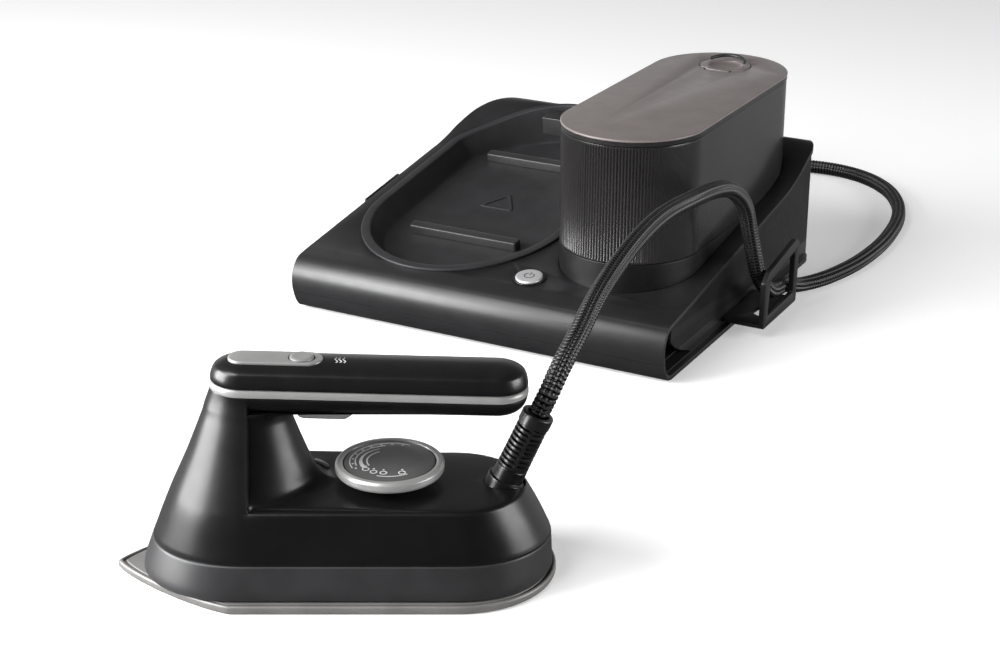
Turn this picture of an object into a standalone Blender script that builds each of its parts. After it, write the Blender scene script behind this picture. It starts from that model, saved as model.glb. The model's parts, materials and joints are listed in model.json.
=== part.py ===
"""Compact steam-generator iron: hand iron, hose, and station with a lift-off water tank.

Lengths are in millimetres until mesh_object scales them.  The row's origin is the centre of the
soleplate's flat face.  The hand iron's nose points to -X, and the station stands behind it,
turned about the vertical.
"""

import math

import bmesh
import bpy
from mathutils import Matrix, Vector

for old in list(bpy.data.objects):
    bpy.data.objects.remove(old, do_unlink=True)

# ---------------------------------------------------------------- driving dimensions (mm)
GAP = 0.3                 # air between pieces that touch

SOLE_LENGTH = 219.0
SOLE_HALF = 47.4
SOLE_THICK = 4.3
SOLE_CENTRE = 110.0       # distance from the nose tip to the row's origin
SKIRT_TOP = 22.0
WALL = 2.2
HANDLE_TILT = math.radians(1.6)
HANDLE_PIVOT_X = 94.0
HANDLE_HALF = 15.5
BAND_Z = 98.8
BAND_H = 4.0
DIAL_X = 137.0
DIAL_R = 26.9
BOOT_X, BOOT_Z = 193.5, 48.0
BOOT_LEAN = math.radians(24.0)
BOOT_LENGTH = 40.0
HOSE_R = 5.3

STATION_WIDTH = 266.0
STATION_DEPTH = 256.0
STATION_X, STATION_Y = -51.07, 353.84
STATION_YAW = math.radians(-28.3)
SEAM_Z = 14.4
BASE_Z = 0.7              # the base clears the ground by this much
FLOOR_Z = 5.2             # its inside floor
SHELL = 2.5
SIDE_RECESS = 4.0
DECK_Y, DECK_Z = 9.0, 38.4
DECK_TILT = math.radians(8.17)
CRADLE_X, CRADLE_HALF = 80.0, 72.0      # the cradle's plan on the deck, nose to the back
CRADLE_FRONT, CRADLE_TIP = -0.3, 245.0
CRADLE_ROUND, CRADLE_TAPER = 82.0, 183.0
CRADLE_DEPTH = 13.0
TANK_X = 207.0
TANK_FRONT, TANK_BACK = 71.0, 206.0     # centres of the tank's two round ends
TANK_R = 46.0
TANK_BASE, TANK_TOP = 59.9, 134.9
LID_TOP = 139.6
FLAP_Y = 218.0
FLAP_R = 17.0
TONGUE_HALF, TONGUE_FRONT, TONGUE_BACK = 8.4, 14.5, 11.2     # the flap's hinge tongue
VALVE_Y = 96.0
COIL_X, COIL_Y, COIL_R = 115.0, 350.0, 55.0
GLAND_X, MAINS_X, GLAND_Z = 60.0, 215.0, 20.0

# ---------------------------------------------------------------- scene set-up
parts = bpy.data.collections.new("steam_iron")
cutters = bpy.data.collections.new("cutters")
for made in (parts, cutters):
    bpy.context.scene.collection.children.link(made)

COLOURS = {
    "satin_black": (0.022, 0.022, 0.024, 0.42, 0.0),
    "gloss_black": (0.012, 0.012, 0.013, 0.16, 0.0),
    "charcoal": (0.030, 0.030, 0.033, 0.48, 0.0),
    "skirt_grey": (0.050, 0.050, 0.054, 0.50, 0.0),
    "silver_plastic": (0.300, 0.300, 0.310, 0.38, 0.0),
    "sole_metal": (0.330, 0.315, 0.300, 0.42, 0.85),
    "cast_metal": (0.450, 0.450, 0.460, 0.55, 0.9),
    "steel": (0.560, 0.560, 0.570, 0.30, 1.0),
    "smoked_plastic": (0.035, 0.033, 0.035, 0.22, 0.0),
    "lid_taupe": (0.165, 0.145, 0.138, 0.36, 0.0),
    "rubber_black": (0.018, 0.018, 0.018, 0.75, 0.0),
    "hose_braid": (0.028, 0.028, 0.029, 0.70, 0.0),
    "circuit_green": (0.030, 0.160, 0.070, 0.45, 0.0),
    "lens_white": (0.620, 0.640, 0.660, 0.20, 0.0),
    "tube_white": (0.650, 0.650, 0.630, 0.45, 0.0),
}


def material(name):
    """One Principled material per surface, made the first time it is asked for."""
    found = bpy.data.materials.get(name)
    if found:
        return found
    made = bpy.data.materials.new(name)
    made.use_nodes = True
    shader = made.node_tree.nodes["Principled BSDF"]
    red, green, blue, rough, metal = COLOURS[name]
    shader.inputs["Base Color"].default_value = (red, green, blue, 1.0)
    shader.inputs["Roughness"].default_value = rough
    shader.inputs["Metallic"].default_value = metal
    made.diffuse_color = (red, green, blue, 1.0)
    return made


def empty(name, location, rotation=(0.0, 0.0, 0.0), parent=None):
    """A frame that pieces hang from; its place is in millimetres in its parent's frame."""
    made = bpy.data.objects.new(name, None)
    made.empty_display_size = 0.02
    made.location = Vector(location) * 0.001
    made.rotation_euler = rotation
    made.parent = parent
    parts.objects.link(made)
    return made


iron = empty("iron_frame", (-SOLE_CENTRE, 0.0, 0.0))
handle = empty("handle_frame", (HANDLE_PIVOT_X - BAND_Z * math.sin(HANDLE_TILT), 0.0,
                                BAND_Z * (1 - math.cos(HANDLE_TILT))),
               (0.0, HANDLE_TILT, 0.0), iron)
boot = empty("boot_frame", (BOOT_X, 0.0, BOOT_Z), (0.0, BOOT_LEAN, 0.0), iron)
dial = empty("dial_axis", (DIAL_X, 0.0, 0.0), (0.0, 0.0, 0.0), iron)
station = empty("station_frame", (STATION_X, STATION_Y, 0.0), (0.0, 0.0, STATION_YAW))
deck = empty("deck_frame", (0.0, DECK_Y, DECK_Z), (DECK_TILT, 0.0, 0.0), station)
valve = empty("valve_axis", (TANK_X, VALVE_Y, 0.0), (0.0, 0.0, 0.0), station)
hinge = empty("flap_hinge", (TANK_X, FLAP_Y - 13.0, LID_TOP - 1.25),
              (0.0, 0.0, 0.0), station)


def place(obj, look, parent, at=(0.0, 0.0, 0.0), turn=(0.0, 0.0, 0.0)):
    """Put an object in the parts collection, or among the cutters when it has no material."""
    obj.location = Vector(at) * 0.001
    obj.rotation_euler = turn
    obj.parent = parent
    if look is None:
        cutters.objects.link(obj)
        obj.hide_render = True
        obj.display_type = "WIRE"
    else:
        parts.objects.link(obj)
        obj.data.materials.append(material(look))
    return obj


def mesh_object(name, build, look, parent, at=(0.0, 0.0, 0.0), turn=(0.0, 0.0, 0.0)):
    """Run build(bm) in millimetres, turn the faces outwards and make the object."""
    bm = bmesh.new()
    build(bm)
    bmesh.ops.recalc_face_normals(bm, faces=bm.faces)
    bmesh.ops.scale(bm, vec=(0.001, 0.001, 0.001), verts=bm.verts)
    data = bpy.data.meshes.new(name)
    bm.to_mesh(data)
    bm.free()
    return place(bpy.data.objects.new(name, data), look, parent, at, turn)


def loft(name, rings, look, parent, wrap=False, **where):
    """Skin rings of equal point count; wrap joins the last to the first for an open shell."""
    def build(bm):
        loops = [[bm.verts.new(point) for point in ring] for ring in rings]
        pairs = list(zip(loops, loops[1:]))
        if wrap:
            pairs.append((loops[-1], loops[0]))
        else:
            bm.faces.new(loops[0])
            bm.faces.new(loops[-1])
        for low, high in pairs:
            for i in range(len(low)):
                j = (i + 1) % len(low)
                bm.faces.new((low[i], low[j], high[j], high[i]))
    return mesh_object(name, build, look, parent, **where)


def prism(name, outline, low, high, look, parent, **where):
    """A flat outline extruded along Z."""
    def build(bm):
        face = bm.faces.new([bm.verts.new((x, y, low)) for x, y in outline])
        grown = bmesh.ops.extrude_face_region(bm, geom=[face])
        top = [item for item in grown["geom"] if isinstance(item, bmesh.types.BMVert)]
        bmesh.ops.translate(bm, vec=(0.0, 0.0, high - low), verts=top)
    return mesh_object(name, build, look, parent, **where)


def box(name, low, high, look, parent, **where):
    """A block between two corners, in its parent's frame."""
    def build(bm):
        bmesh.ops.create_cube(bm, size=1.0)
        bmesh.ops.scale(bm, vec=Vector(high) - Vector(low), verts=bm.verts)
        bmesh.ops.translate(bm, vec=(Vector(high) + Vector(low)) / 2, verts=bm.verts)
    return mesh_object(name, build, look, parent, **where)


def cylinder(name, radius, low, high, look, parent, count=20, **where):
    """A round bar along Z."""
    def build(bm):
        bmesh.ops.create_cone(bm, cap_ends=True, segments=count, radius1=radius,
                              radius2=radius, depth=high - low)
        bmesh.ops.translate(bm, vec=(0.0, 0.0, (high + low) / 2), verts=bm.verts)
    return mesh_object(name, build, look, parent, **where)


def turned(name, profile, look, parent, closed=True, count=24, **where):
    """A profile of (radius, z) spun about Z; closed profiles make rings, open ones solids."""
    area = sum(a[0] * b[1] - b[0] * a[1] for a, b in zip(profile, profile[1:] + profile[:1]))
    if area > 0:                      # the outer side has to run from top to bottom
        profile = profile[::-1]
    data = bpy.data.meshes.new(name)
    points = [(r * 0.001, 0.0, z * 0.001) for r, z in profile]
    edges = [(i, i + 1) for i in range(len(points) - 1)]
    if closed:
        edges.append((len(points) - 1, 0))
    data.from_pydata(points, edges, [])
    obj = place(bpy.data.objects.new(name, data), look, parent, **where)
    spin = obj.modifiers.new("spin", "SCREW")
    spin.axis = "Z"
    spin.steps = spin.render_steps = count
    spin.use_merge_vertices = True
    spin.merge_threshold = 0.00001
    spin.use_smooth_shade = False
    return obj


def tube(name, points, radius, look, parent, sides=2, spacing=14.0):
    """A round bar along a path, read from a smooth curve unless the spacing is None."""
    path = catmull(points, spacing) if spacing else [Vector(p) for p in points]
    curve = bpy.data.curves.new(name, "CURVE")
    curve.dimensions = "3D"
    curve.bevel_depth = radius * 0.001
    curve.bevel_resolution = sides
    curve.use_fill_caps = True
    line = curve.splines.new("POLY")
    line.points.add(len(path) - 1)
    for slot, point in zip(line.points, path):
        slot.co = (*(point * 0.001), 1.0)
    raw = bpy.data.objects.new(name + "_path", curve)
    bpy.context.scene.collection.objects.link(raw)
    bpy.context.view_layer.update()
    depsgraph = bpy.context.evaluated_depsgraph_get()
    data = bpy.data.meshes.new_from_object(raw.evaluated_get(depsgraph))
    bpy.data.objects.remove(raw, do_unlink=True)
    bm = bmesh.new()
    bm.from_mesh(data)
    bmesh.ops.remove_doubles(bm, verts=bm.verts, dist=0.00001)
    bmesh.ops.recalc_face_normals(bm, faces=bm.faces)
    bm.to_mesh(data)
    bm.free()
    data.name = name
    data.materials.clear()
    return place(bpy.data.objects.new(name, data), look, parent)


def catmull(points, spacing):
    """Evenly spaced points on a smooth curve through the given ones."""
    given = [Vector(p) for p in points]
    ends = [given[0] * 2 - given[1]] + given + [given[-1] * 2 - given[-2]]
    dense = [given[0]]
    for a, b, c, d in zip(ends, ends[1:], ends[2:], ends[3:]):
        for k in range(1, 17):
            t = k / 16.0
            dense.append(0.5 * ((2 * b) + (c - a) * t + (2 * a - 5 * b + 4 * c - d) * t * t
                                + (3 * b - a - 3 * c + d) * t ** 3))
    total = sum((q - p).length for p, q in zip(dense, dense[1:]))
    count = max(2, round(total / spacing))
    out, want, run = [dense[0]], total / count, 0.0
    for p, q in zip(dense, dense[1:]):
        step = (q - p).length
        while run + step >= want * len(out) - 1e-6 and len(out) < count:
            out.append(p.lerp(q, (want * len(out) - run) / step))
        run += step
    head = (given[1] - given[0]).normalized() * 2.0
    tail = (given[-2] - given[-1]).normalized() * 2.0
    return [out[0], out[0] + head] + out[1:] + [dense[-1] + tail, dense[-1]]


def cut(obj, *tools, operation="DIFFERENCE"):
    """Exact booleans, one for each tool."""
    for tool in tools:
        step = obj.modifiers.new("cut_" + tool.name, "BOOLEAN")
        step.operation = operation
        step.solver = "EXACT"
        step.object = tool
    return obj


def hull_outline(x_front, x_a, half_a, x_b, half_b, x_rear, z, power=2.0, slope=0.0):
    """A pointed-oval ring: curved nose, straight flanks and a round heel."""
    right = []
    for i in range(8):
        angle = math.pi / 2 * i / 7
        right.append((x_a - (x_a - x_front) * math.cos(angle) ** (2 / power),
                      half_a * math.sin(angle) ** (2 / power)))
    for k in (1, 2):
        right.append((x_a + (x_b - x_a) * k / 3, half_a + (half_b - half_a) * k / 3))
    for i in range(7):
        angle = math.pi / 2 * i / 6
        right.append((x_b + (x_rear - x_b) * math.sin(angle), half_b * math.cos(angle)))
    left = [(x, -y) for x, y in reversed(right[1:-1])]
    return [(x, y, z - slope * (x - HANDLE_PIVOT_X)) for x, y in right + left]


def slot_outline(x0, x1, y0, y1, front_r, back_r, count=6):
    """A rounded rectangle whose front and back corners differ."""
    corners = ((x1, y0, front_r, -90), (x1, y1, back_r, 0),
               (x0, y1, back_r, 90), (x0, y0, front_r, 180))
    points = []
    for x, y, r, start in corners:
        cx = x - r if x == x1 else x + r
        cy = y + r if y == y0 else y - r
        for i in range(count + 1):
            angle = math.radians(start + 90 * i / count)
            points.append((cx + r * math.cos(angle), cy + r * math.sin(angle)))
    return points


def stadium(radius, count=8):
    """The tank's plan outline at a given end radius."""
    points = []
    for centre, start in ((TANK_FRONT, 180), (TANK_BACK, 0)):
        for i in range(count + 1):
            angle = math.radians(start + 180 * i / count)
            points.append((TANK_X + radius * math.cos(angle),
                           centre + radius * math.sin(angle)))
    return points


def at_height(outline, z):
    """Lift a flat outline to a height."""
    return [(x, y, z) for x, y in outline]


# ---------------------------------------------------------------- hand iron: sole and heater
def sole_ring(inset, z):
    return hull_outline(1.41 * inset, 61.0, SOLE_HALF - inset, 171.6, SOLE_HALF - inset,
                        SOLE_LENGTH - inset, z, power=1.22)


steam_holes = []
HOLES = [(58, 0), (64, 7), (64, -7), (73, 11), (73, -11), (84, 13), (84, -13),
         (150, 10), (150, -10), (166, 0)]
for n, (x, y) in enumerate(HOLES):
    steam_holes.append(cylinder(f"steam_hole_{n}", 1.6, -2.0, 11.0, None, iron, count=8,
                                at=(x, y, 0.0)))

soleplate = loft("soleplate", [sole_ring(0.9, 0.0), sole_ring(0.0, 0.9), sole_ring(0.0, 3.9),
                               sole_ring(0.5, SOLE_THICK)], "sole_metal", iron)
cut(soleplate, *steam_holes)

heater_path = [(188, 27, 12), (160, 27, 12), (110, 27, 12), (80, 25, 12), (58, 17, 12),
               (49, 0, 12), (58, -17, 12), (80, -25, 12), (110, -27, 12), (160, -27, 12),
               (188, -27, 12)]
chamber = loft("steam_chamber",
               [hull_outline(27, 75, 37, 168, 37, 197, SOLE_THICK + GAP),
                hull_outline(29, 75, 35, 168, 35, 195, 16.0)], "cast_metal", iron)
chamber_pocket = loft("chamber_pocket", [hull_outline(54, 78, 17, 165, 17, 180, 9.0),
                                         hull_outline(54, 78, 17, 165, 17, 180, 20.0)],
                      None, iron)
heater_groove = tube("heater_groove", [(202, 27, 12)] + heater_path + [(202, -27, 12)], 4.4,
                     None, iron, spacing=7.0)
cut(chamber, chamber_pocket, *steam_holes, heater_groove)
tube("heating_element", heater_path, 3.5, "steel", iron, sides=1, spacing=7.0)
chamber_cover = loft("chamber_cover",
                     [hull_outline(51, 78, 20.5, 165, 20.5, 183.5, 16.0 + GAP),
                      hull_outline(51, 78, 20.5, 165, 20.5, 183.5, 18.0)], "steel", iron)
inlet_hole = cylinder("inlet_hole", 3.0, 14.0, 20.0, None, iron, count=12, at=(170, 0, 0))
cut(chamber_cover, inlet_hole)
turned("thermostat", [(0, 26), (5, 26), (5, 23), (8.5, 23), (8.5, 18.3), (0, 18.3)],
       "steel", iron, closed=False, count=18, at=(93, 0, 0))
tube("iron_inlet_tube", [(170, 0, 18.4), (170.5, 0, 21.5), (176, 0, 26), (184.5, 0, 30.5),
                         (187.6, 0, 34.8), (190.1, 0, 40.3)], 2.4, "tube_white", iron,
     spacing=4.0)

# ---------------------------------------------------------------- hand iron: skirt and body
SKIRT = [(13.6, 43.4, 4.9, 217.2), (14.3, 43.1, 8.8, 217.0), (19.0, 40.3, SKIRT_TOP, 216.4)]
outer = [hull_outline(f, f + 48, h, 171.6, h, r, z) for f, h, z, r in SKIRT]
inner = [hull_outline(f + 2.6, f + 48, h - WALL, 171.6, h - WALL, r - WALL, z)
         for f, h, z, r in reversed(SKIRT)]
loft("skirt", outer + inner, "skirt_grey", iron, wrap=True)

SLOPE = math.tan(HANDLE_TILT)
UNDER_SLOPE = 0.0065                     # the handle's underside is nearly level
CREASE_X = 70.3                          # the nose wall ends in an upright crease here


def body_outline(x_front, half, neck, x_heel, x_rear, z, power=2.0, slope=0.0):
    """A body ring: the nose wall back to the crease, then the flank and heel, or the neck."""
    right = []
    for i in range(8):
        angle = math.pi / 2 * i / 7
        right.append((CREASE_X - (CREASE_X - x_front) * math.cos(angle), half * math.sin(angle)))
    start = CREASE_X + 0.7
    x_heel = max(x_heel, start)
    for k in range(3 if x_heel > start else 1):
        right.append((start + (x_heel - start) * k / 3, neck))
    bends = 17 - len(right)
    for i in range(bends):
        angle = math.pi / 2 * (i + (x_heel > start)) / (bends - 1 + (x_heel > start))
        right.append((x_heel + (x_rear - x_heel) * math.sin(angle) ** (2 / power),
                      neck * max(0.0, math.cos(angle)) ** (2 / power)))
    left = [(x, -y) for x, y in reversed(right[1:-1])]
    return [(x, y, z - slope * (x - HANDLE_PIVOT_X)) for x, y in right + left]


OUTER_BODY = [
    (19.2, 40.0, 40.0, 171.6, 216.2, SKIRT_TOP + GAP, 2.0, 0.0),
    (23.6, 37.4, 37.4, 170.5, 211.0, 34.0, 2.0, 0.0),
    (28.6, 34.8, 34.8, 168.5, 204.6, 45.5, 2.0, 0.0),
    (29.8, 33.9, 33.6, 168.0, 202.6, 47.6, 2.0, 0.0),
    (30.8, 33.0, 30.6, 0.0, 106.0, 49.6, 1.35, 0.0),
    (32.4, 31.4, 28.6, 0.0, 102.0, 53.5, 1.35, 0.0),
    (38.2, 26.6, 23.6, 0.0, 96.9, 66.0, 1.35, 0.0),
    (43.9, 21.6, 18.6, 0.0, 91.6, 80.0, 1.5, 0.0),
    (46.0, 19.6, 16.2, 0.0, 90.6, 85.4, 1.7, 0.0),
    (47.6, 18.0, 10.8, 188.0, 198.5, 88.9, 2.0, UNDER_SLOPE),
    (49.0, 16.8, 14.4, 189.0, 202.6, 91.6, 2.0, 0.014),
    (51.2, HANDLE_HALF, HANDLE_HALF, 189.0, 204.5, BAND_Z - GAP, 2.0, SLOPE),
]
INNER_BODY = [
    (53.6, 13.2, 13.2, 188.0, 202.0, BAND_Z - GAP, 2.0, SLOPE),
    (52.0, 13.8, 11.6, 187.0, 200.0, 94.0, 2.0, 0.02),
    (51.2, 14.6, 8.6, 185.0, 195.6, 91.4, 2.0, 0.0085),
    (50.0, 16.2, 12.6, 0.0, 86.6, 87.2, 1.7, 0.0),
    (47.0, 18.4, 15.4, 0.0, 87.6, 80.0, 1.5, 0.0),
    (41.4, 23.4, 20.4, 0.0, 92.6, 66.0, 1.35, 0.0),
    (35.6, 28.2, 25.4, 0.0, 97.6, 53.2, 1.35, 0.0),
    (33.8, 30.2, 27.8, 0.0, 101.6, 47.0, 1.35, 0.0),
    (32.6, 31.4, 31.2, 167.0, 199.6, 45.0, 2.0, 0.0),
    (26.6, 35.0, 35.0, 169.5, 208.6, 34.0, 2.0, 0.0),
    (22.2, 37.6, 37.6, 170.6, 213.6, SKIRT_TOP + GAP, 2.0, 0.0),
]
body = loft("body_shell", [body_outline(f, h, n, xh, r, z, p, slope)
                           for f, h, n, xh, r, z, p, slope in OUTER_BODY + INNER_BODY],
            "satin_black", iron, wrap=True)
LENS_AT, LENS_TURN = (101.9, 15.3, 0.0), math.radians(-49.4)
dial_hole = cylinder("dial_hole", 4.6, 40.0, 58.0, None, dial, count=16)
boot_hole = cylinder("boot_hole", 9.9, -9.0, 12.0, None, boot, count=24)
trigger_slot = box("trigger_slot", (-2.0, -5.6, 80.0), (28.0, 5.6, 96.0), None, handle)
lens_slot = box("lens_slot", (-6.3, -1.8, 44.0), (6.3, 1.8, 60.0), None, iron,
                at=LENS_AT, turn=(0.0, 0.0, LENS_TURN))
cut(body, dial_hole, boot_hole, trigger_slot, lens_slot)
box("indicator_lens", (-6.0, -1.5, 45.0), (6.0, 1.5, 50.0), "lens_white", iron,
    at=LENS_AT, turn=(0.0, 0.0, LENS_TURN))

# ---------------------------------------------------------------- hand iron: handle
def handle_ring(x_front, half, x_rear, z):
    """Handle outlines are drawn in the tilted handle frame."""
    ring = hull_outline(x_front, x_front + half, half, x_rear - half, half, x_rear, z)
    return [(x - HANDLE_PIVOT_X, y, z) for x, y, z in ring]


band_low, band_high = BAND_Z, BAND_Z + BAND_H
loft("handle_band", [handle_ring(50.9, 16.0, 204.9, band_low),
                     handle_ring(50.9, 16.0, 204.9, band_high),
                     handle_ring(53.9, 13.0, 201.9, band_high),
                     handle_ring(53.9, 13.0, 201.9, band_low)],
     "silver_plastic", handle, wrap=True)
COVER = [(51.6, 15.5, 204.4, band_high + GAP), (52.4, 15.1, 203.8, 107.6),
         (54.6, 13.0, 202.0, 110.8), (58.2, 9.4, 198.4, 113.0), (63.0, 4.6, 193.6, 113.9)]
cover_inner = [handle_ring(f + 2.2, h - 2.2, r - 2.2, z - (0.0 if n == 0 else 2.2))
               for n, (f, h, r, z) in enumerate(COVER)]
cover = loft("handle_cover", cover_inner[::-1] + [handle_ring(*row) for row in COVER],
             "gloss_black", handle)
PAD = (60.0 - HANDLE_PIVOT_X, 106.0 - HANDLE_PIVOT_X)
pad_cut = prism("pad_cut", slot_outline(PAD[0] - 0.4, PAD[1] + 0.4, -7.9, 7.9, 7.8, 7.8),
                106.0, 120.0, None, handle)
cut(cover, pad_cut)
BUTTON_X = PAD[1] - 10.5
pad = prism("control_pad", slot_outline(PAD[0], PAD[1], -7.5, 7.5, 7.4, 7.4), 110.0, 114.2,
            "silver_plastic", handle)
button_hole = cylinder("button_hole", 6.3, 104.0, 118.0, None, handle, count=24,
                       at=(BUTTON_X, 0.0, 0.0))
cut(pad, button_hole)
turned("steam_button", [(0, 115.2), (5.0, 115.2), (5.9, 114.6), (5.9, 109.0), (0, 109.0)],
       "silver_plastic", handle, closed=False, at=(BUTTON_X, 0.0, 0.0))
box("button_switch", (-3.0, -3.0, 104.6), (3.0, 3.0, 107.4), "satin_black", handle,
         at=(BUTTON_X, 0.0, 0.0))
box("control_board", (-30.0, -9.0, 102.9), (58.0, 9.0, 104.3), "circuit_green", handle)
box("trigger_switch", (14.0, -3.2, 97.6), (24.0, 3.2, 102.6), "satin_black", handle)

trigger_side = [(-0.4, 85.0), (2.4, 83.7), (22.6, 83.7), (26.4, 86.6), (26.4, 94.6),
                (-0.4, 94.6)]
prism("trigger", trigger_side, -4.8, 4.8, "satin_black", handle,
      turn=(math.radians(90), 0.0, 0.0))
spring_turns = [(6.5 + 1.9 * math.cos(math.tau * i / 8), 1.9 * math.sin(math.tau * i / 8),
                 95.4 + 6.6 * i / 32) for i in range(33)]
tube("trigger_spring", spring_turns, 0.4, "steel", handle, sides=0, spacing=None)

# ---------------------------------------------------------------- hand iron: dial
turned("dial_ring", [(22.9, 59.0), (24.2, 59.7), (25.9, 59.3), (DIAL_R, 58.0), (DIAL_R, 55.4),
                     (26.0, 54.2), (22.9, 54.2)], "silver_plastic", dial, count=40)
turned("dial_face", [(0, 59.2), (21.6, 59.2), (22.5, 58.6), (22.5, 54.4), (0, 54.4)],
       "gloss_black", dial, closed=False, count=40)
cylinder("dial_shaft", 4.0, 31.0, 54.1, "satin_black", dial, count=16)
box("dial_encoder", (-8.0, -8.0, 20.5), (8.0, 8.0, 30.7), "satin_black", dial)

# ---------------------------------------------------------------- hand iron: hose outlet
turned("hose_collar", [(0, 9.4), (7.6, 9.4), (9.0, 7.6), (9.6, 3.5), (9.6, -8.0), (0, -8.0)],
       "satin_black", boot, closed=False)
ribs = [(0.0, BOOT_LENGTH), (8.0, BOOT_LENGTH), (8.0, BOOT_LENGTH - 3.0)]
for n in range(5):
    top = BOOT_LENGTH - 3.6 - 5.2 * n
    ribs += [(6.2, top), (6.2, top - 1.6), (7.2, top - 2.0), (7.2, top - 4.8)]
ribs += [(6.6, 9.7), (0.0, 9.7)]
turned("hose_boot", ribs, "rubber_black", boot, closed=False, count=20)

# ---------------------------------------------------------------- station hull
PROFILE = [(3.6, BASE_Z), (-1.8, 2.5), (-5.9, 7.4), (-8.6, 14.0), (-9.8, 20.5), (-9.0, 27.0),
           (-5.8, 32.6), (-0.8, 36.4), (DECK_Y, DECK_Z), (186.0, 63.8), (202.0, 67.6),
           (216.0, 72.6), (230.0, 79.4), (240.0, 83.6), (248.0, 85.4), (253.0, 84.4),
           (256.0, 80.6), (256.0, BASE_Z)]


def inset_polygon(points, amount):
    """Move every edge of a closed outline inwards by the same amount."""
    area = sum(a[0] * b[1] - b[0] * a[1] for a, b in zip(points, points[1:] + points[:1]))
    side = 1.0 if area > 0 else -1.0
    out = []
    for n, point in enumerate(points):
        before, after = Vector(points[n - 1]), Vector(points[(n + 1) % len(points)])
        here = Vector(point)
        d1, d2 = (here - before).normalized(), (after - here).normalized()
        n1 = Vector((-d1.y, d1.x)) * side
        n2 = Vector((-d2.y, d2.x)) * side
        middle = (n1 + n2).normalized()
        out.append(tuple(here + middle * (amount / max(0.3, middle.dot(n1)))))
    return out


def clip(points, keep_above, z):
    """Keep the part of a side profile above or below a height."""
    inside = (lambda p: p[1] >= z) if keep_above else (lambda p: p[1] <= z)
    out = []
    for a, b in zip(points, points[1:] + points[:1]):
        if inside(a):
            out.append(a)
        if inside(a) != inside(b):
            t = (z - a[1]) / (b[1] - a[1])
            out.append((a[0] + (b[0] - a[0]) * t, z))
    return out


def side_prism(name, outline, x_low, x_high, look):
    """A (y, z) profile extruded across the station's width."""
    def build(bm):
        face = bm.faces.new([bm.verts.new((x_low, y, z)) for y, z in outline])
        grown = bmesh.ops.extrude_face_region(bm, geom=[face])
        far = [item for item in grown["geom"] if isinstance(item, bmesh.types.BMVert)]
        bmesh.ops.translate(bm, vec=(x_high - x_low, 0.0, 0.0), verts=far)
    return mesh_object(name, build, look, station)


def plan_corners(inset):
    """The station's plan: square front, rounded back corners."""
    left, right = inset, STATION_WIDTH - inset
    if inset:
        right -= SIDE_RECESS
    back = STATION_DEPTH - inset
    points = [(left, -40.0), (right, -40.0)]
    for cx, cy, r, start in ((right - 20 + inset, back - 20 + inset, 20 - inset, 0),
                             (left + 52 - inset, back - 52 + inset, 52 - inset, 90)):
        for i in range(7):
            angle = math.radians(start + 15 * i)
            points.append((cx + r * math.cos(angle), cy + r * math.sin(angle)))
    return points


plan_outer = prism("plan_outer", plan_corners(0.0), -20.0, 130.0, None, station)
plan_inner = prism("plan_inner", plan_corners(SHELL), -20.0, 130.0, None, station)
inner_profile = inset_polygon(PROFILE, SHELL)
deck_shell = side_prism("deck_shell", clip(PROFILE, True, SEAM_Z), 0.0, STATION_WIDTH,
                        "charcoal")
deck_hollow = side_prism("deck_hollow", clip(inner_profile, True, FLOOR_Z), SHELL,
                         STATION_WIDTH - SHELL - SIDE_RECESS, None)
cut(deck_hollow, plan_inner, operation="INTERSECT")
base_tray = side_prism("base_tray", clip(PROFILE, False, SEAM_Z - GAP), 0.0, STATION_WIDTH,
                       "charcoal")
base_hollow = side_prism("base_hollow", clip(inner_profile, True, FLOOR_Z), SHELL,
                         STATION_WIDTH - SHELL - SIDE_RECESS, None)
cut(base_hollow, plan_inner, operation="INTERSECT")
side_recess = side_prism("side_recess", inset_polygon(PROFILE, 3.0),
                         STATION_WIDTH - SIDE_RECESS, STATION_WIDTH + 10.0, None)
MOUTH = [(-5.6, 12.0), (-3.0, 7.2), (2.0, 4.4), (44.0, 4.4), (36.0, 7.6), (27.0, 11.0),
         (17.6, 16.2), (11.6, 21.0), (10.2, 24.5), (11.5, 31.0), (4.0, 31.5), (-4.0, 27.0),
         (-6.4, 20.0)]
nose_mouth = side_prism("nose_mouth", MOUTH, STATION_WIDTH - 12.0, STATION_WIDTH + 12.0, None)

TILT_COS, TILT_SIN = math.cos(DECK_TILT), math.sin(DECK_TILT)
RISE = [((y - DECK_Y) * TILT_COS + (z - DECK_Z) * TILT_SIN,
         (z - DECK_Z) * TILT_COS - (y - DECK_Y) * TILT_SIN) for y, z in PROFILE[9:16]]


def deck_rise(y):
    """How far the deck's back stands above the deck plane."""
    for (y0, z0), (y1, z1) in zip(RISE, RISE[1:]):
        if y0 <= y <= y1:
            return z0 + (z1 - z0) * (y - y0) / (y1 - y0)
    return 0.0


def cradle_outline(inset):
    """The iron-shaped plan of the cradle, moved inwards; its nose points to the back."""
    tip = CRADLE_TIP - 0.62 * inset
    half = CRADLE_HALF - inset
    ring = hull_outline(0.0, tip - CRADLE_TAPER, half, tip - CRADLE_ROUND, half,
                        tip - CRADLE_FRONT - inset, 0.0, power=1.4)
    return [(CRADLE_X + y, tip - x) for x, y, _ in ring]


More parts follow.
